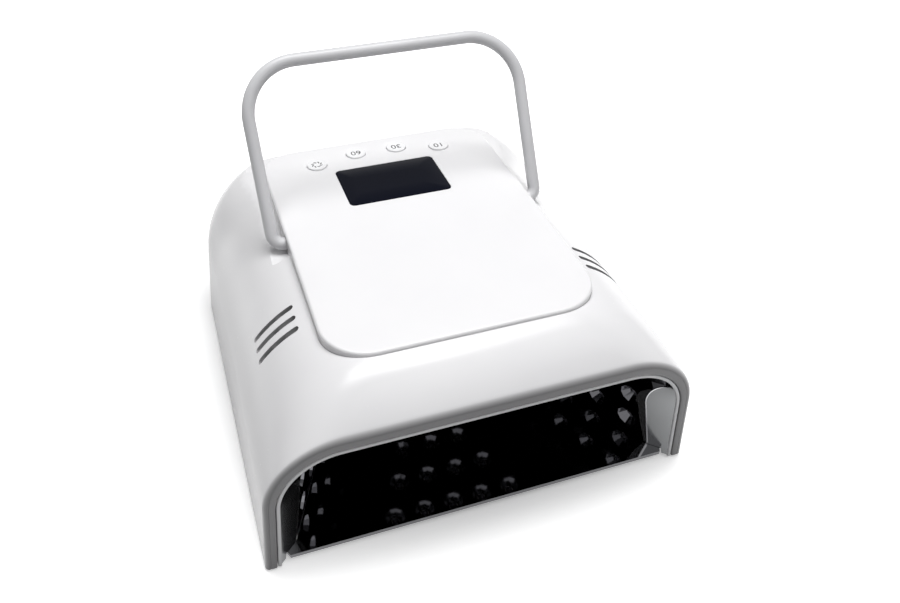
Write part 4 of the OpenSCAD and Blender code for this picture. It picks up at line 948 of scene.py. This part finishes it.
def cheek():
    """Grid from the lip over the rounded ridge to the thumb wall. Lip, ridge and rear edge are
    three curves, each straight at first and then an arc, and rows run across all three. The ridge
    is rounded by a parabola that touches both planes."""
    t, straight = np.linspace(0, 1, 34), 0.62
    low = np.clip(t / straight, 0, 1)
    bend = np.clip((t - straight) / (1 - straight), 0, 1)

    def rising(foot, middle_s, middle_z, radius, degrees):
        """Curve of (s, z): straight from its foot, then an arc round its middle."""
        turn = np.radians(degrees) * bend
        s = np.where(bend > 0, middle_s + radius * np.cos(turn),
                     foot + (middle_s + radius - foot) * low)
        return s, np.where(bend > 0, middle_z + radius * np.sin(turn),
                           cheek_bottom + (middle_z - cheek_bottom) * low)

    ridge_s, ridge_z = rising(12.3, -2.7, 37.2, 19.0, 64)
    rear_s, rear_z = rising(20.7, 5.4, 34.0, 16.8, 66)
    ridge = cheek_point(ridge_s, 0.0, ridge_z)
    rear = cheek_point(rear_s, strip_depth * (1 - 0.3 * bend), rear_z)
    arc_x, arc_z = corner_middle(*lip_inner)
    arc = mouth_lean + np.radians(27.6) * bend
    lip_z = np.where(bend > 0, arc_z + lip_inner[2] * np.sin(arc), cheek_bottom + 38.8 * low)
    lip_x = np.where(bend > 0, arc_x + lip_inner[2] * np.cos(arc),
                     lip_inner[0] - lip_z * tan(mouth_lean))
    lip_edge = np.stack([lip_x + 0.5, np.full_like(t, 0.9), lip_z], 1)
    a, b, soft = ridge - lip_edge, rear - ridge, 0.9
    before = ridge - soft * a / np.linalg.norm(a, axis=1)[:, None]
    after = ridge + soft * b / np.linalg.norm(b, axis=1)[:, None]
    columns = [lip_edge + (before - lip_edge) * u for u in (0, 0.16, 0.33, 0.385, 0.5, 0.67, 0.84)]
    columns += [(1 - u) ** 2 * before + 2 * u * (1 - u) * ridge + u ** 2 * after
                for u in np.linspace(0, 1, 7)]
    columns += [after + (rear - after) * u for u in np.linspace(0, 1, 6)[1:]]
    columns.append(rear + (0.9, 0.4, 0))
    x, y, z = np.stack(columns, 1).transpose(2, 0, 1)
    # In front of the tray the cheek reaches down to the underside
    drop = foot_drop * np.clip(1 - t / 0.15, 0, 1)[:, None] * np.clip((foot_front - y) / 0.35, 0, 1)
    x, z = x + drop * tan(mouth_lean), z - drop
    # The mask is 1 on the ridge, where the highlight is painted, and 0.5 on the strip behind it
    painted_highlight_share = np.zeros(x.shape)
    painted_highlight_share[:, 8:13] = 1.0
    painted_highlight_share[:, 13:] = 0.5
    front = in_place(x, y, z)
    back = in_place(x + film_step[0], y + film_step[1], z)
    rims = [np.concatenate([g[:, 0], g[-1, 1:], g[::-1, -1][1:], g[0, ::-1][1:]])
            for g in (front, back)]
    faces = grid_faces(*x.shape)
    return [turned((front, faces, painted_highlight_share.ravel())), (back, faces),
            turned((np.stack(rims), grid_faces(2, len(rims[0]))))]


side = cheek()
cheeks = build("mouth_cheeks", side + [mirrored(p) for p in side], smoky_mirror, sharp=50)
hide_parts("mouth_collar")
dark_mirror = mirrored_film("dark_mirror", (0.020, 0.020, 0.023), (0.030, 0.030, 0.032), 0.06)
tray_mirror = mirrored_film("tray_mirror", (0.22, 0.22, 0.23), (0.10, 0.10, 0.10), 0.03,
                            smear=0.06, scratches=0.12)
dress("reflector", dark_mirror)
dress("floor_tray", tray_mirror)


# Lamps
# Thirty-five faceted reflector cups in bright metallised plastic, each with a lamp chip under a
# clear lens, on three white lamp boards, and the eye that starts the timer.
cup_metal = mirrored_film("cup_metal", (0.13, 0.13, 0.14), (0.09, 0.09, 0.10), 0.05, smear=0.1,
                          scratches=0.1)
lens = moulded("lamp_lens", (0.15, 0.145, 0.18), (0.12, 0.115, 0.15), 0.08, grain=0.0, wave=0.2)
board_white = moulded("board_white", (0.76, 0.77, 0.74), (0.66, 0.67, 0.64), 0.42,
                      grain_size=0.0008, grain=0.4, wave=0.2, specks=0.5)
soft_black = moulded("soft_black", (0.022, 0.022, 0.024), (0.032, 0.032, 0.034), 0.45,
                     grain_size=0.0007, grain=0.6, wave=0.2, specks=0.3, lift=0.00005)
dress("reflector_cups", cup_metal)
dress("uv_leds", lens)
for name in ("top_led_board", "left_led_board", "right_led_board"):
    dress(name, board_white)
dress("presence_sensor", soft_black)


# Boards under the panel
# The display module on its green board with four tact switches and their stems, and the main
# board with its connectors, hung from the roof by small steel screws.
circuit, given, result = new_group("board_print", [
    ("Mask", "Color", (0.02, 0.14, 0.06, 1)), ("Trace", "Color", (0.05, 0.24, 0.11, 1))],
    [("Colour", "Color"), ("Height", "Float")])
where = node(circuit, "TexCoord").outputs["Object"]
tracks = node(circuit, "TexBrick", {"Vector": where}, {
    "Scale": 210.0, "Mortar Size": 0.03, "Color1": (0, 0, 0, 1), "Color2": (0.35, 0.35, 0.35, 1),
    "Mortar": (1, 1, 1, 1)})
tone = node(circuit, "Mix", {"Factor": tracks.outputs["Color"], "A": given["Mask"],
                            "B": given["Trace"]}, data_type="RGBA")
circuit.links.new(tone.outputs["Result"], result["Colour"])
circuit.links.new(tracks.outputs["Fac"], result["Height"])
green_board, finish = surfaced("green_board", circuit, 0.00004, {})
finish["Roughness"].default_value = 0.35
steel = mirrored_film("bright_steel", (0.48, 0.49, 0.50), (0.30, 0.30, 0.31), 0.26, smear=0.3,
                      scratches=0.5)
dress("main_board", green_board)
dress("display_board", green_board)
dress("display_module", soft_black)
dress("tact_switches", soft_black)
for key in ("mode", "60", "30", "10"):
    dress("plunger_" + key, soft_black)
dress("panel_screws", steel)
dress("board_screws", steel)


# Base and battery
# A flat white frame closes the case from below and carries the battery in its cradle, the power
# socket, the magnets that hold the tray, eight screws and four rubber feet.
frame_white = moulded("frame_white", (0.74, 0.74, 0.755), (0.68, 0.68, 0.70), 0.40,
                      grain_size=0.0009, grain=0.7, wave=0.3, specks=0.6, lift=0.00006)
rubber = moulded("foot_rubber", (0.030, 0.030, 0.032), (0.055, 0.055, 0.057), 0.75,
                 grain_size=0.0005, grain=0.9, wave=0.3, specks=0.8, lift=0.00008)
sleeve = moulded("cell_sleeve", (0.045, 0.13, 0.36), (0.035, 0.10, 0.29), 0.28, grain=0.1,
                 wave=0.5, specks=0.2)
nylon = moulded("bush_nylon", (0.74, 0.72, 0.66), (0.68, 0.66, 0.60), 0.38, grain=0.3, wave=0.2)
dress("base_frame", frame_white)
dress("rubber_feet", rubber)
for name in ("base_screws", "strap_screws", "battery_straps", "frame_magnets", "tray_magnets"):
    dress(name, steel)
dress("battery_cells", sleeve)
dress("battery_cradle", soft_black)
dress("dc_jack", soft_black)


# Carrying handle
# One bar of 6.8 mm, bent at four places and painted satin silver, that turns in nylon bushes in
# the plateau walls and is held by spring washers and open ring clips.
bar_radius, handle_half, leg_length = 3.4, 74.8, 91.8
bend_radius, elbow_radius, stub_end, end_break = 28.0, 6.0, 56.3, 0.4
pivot, lean_back = np.array([0.0, 130.7, 90.8]), radians(31.3)


def handle_path():
    """Right half of the bar's middle line, from the stub's end over elbow, leg and bend to the
    middle of the crossbar: (x, height) and direction, straight runs joined by quarter circles."""
    a = np.radians(np.linspace(0, 90, 13))
    b = np.radians(np.linspace(0, 90, 25))
    stub = np.linspace(stub_end, handle_half - elbow_radius, 5)
    leg = np.linspace(elbow_radius, leg_length - bend_radius, 14)
    bar = np.linspace(handle_half - bend_radius, 0, 12)
    x = np.concatenate([stub, handle_half - elbow_radius + elbow_radius * np.sin(a)[1:],
                        np.full(13, handle_half),
                        handle_half - bend_radius + bend_radius * np.cos(b)[1:], bar[1:]])
    h = np.concatenate([np.zeros(5), elbow_radius - elbow_radius * np.cos(a)[1:], leg[1:],
                        leg_length - bend_radius + bend_radius * np.sin(b)[1:],
                        np.full(11, leg_length)])
    dx = np.concatenate([np.ones(5), np.cos(a)[1:], np.zeros(13), -np.sin(b)[1:], -np.ones(11)])
    dh = np.concatenate([np.zeros(5), np.sin(a)[1:], np.ones(13), np.cos(b)[1:], np.zeros(11)])
    return x, h, dx, dh


def bar_surface():
    """Circle of the bar's radius carried along the path. One radius of each circle lies in the
    plane of the handle, the other stands square to it, and the ends are rounded off."""
    x, h, dx, dh = handle_path()
    x, h = np.concatenate([x, -x[::-1][1:]]), np.concatenate([h, h[::-1][1:]])
    dx, dh = np.concatenate([dx, dx[::-1][1:]]), np.concatenate([dh, -dh[::-1][1:]])
    # The ends' edges are broken
    x = np.concatenate([x[:1], x[:1] + end_break, x[1:-1], x[-1:] - end_break, x[-1:]])
    h, dx, dh = (np.concatenate([q[:1], q, q[-1:]]) for q in (h, dx, dh))
    r = np.full(len(x), bar_radius)
    r[[0, -1]] -= end_break
    turn = np.linspace(0, -2 * pi, 33)
    px = x[:, None] - r[:, None] * np.cos(turn) * dh[:, None]
    ph = h[:, None] + r[:, None] * np.cos(turn) * dx[:, None]
    pn = r[:, None] * np.sin(turn)
    y = pivot[1] + ph * sin(lean_back) + pn * cos(lean_back)
    z = pivot[2] + ph * cos(lean_back) - pn * sin(lean_back)
    rows = in_place(px, y, z)
    return [(rows, grid_faces(*rows.shape[:2])), (rows[0, :-1], [tuple(reversed(range(32)))]),
            (rows[-1, :-1], [tuple(range(32))])]


satin_paint = moulded("satin_silver", (0.66, 0.66, 0.675), (0.57, 0.57, 0.585), 0.30, haze=0.08,
                      grain_size=0.0005, grain=0.2, wave=0.4, specks=0.3, lift=0.00002)
handle_bar = build("carrying_bar", bar_surface(), satin_paint, "bail")
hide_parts("handle")
dress("handle_bushes", nylon)
dress("handle_washers", steel)
dress("handle_clips", steel)
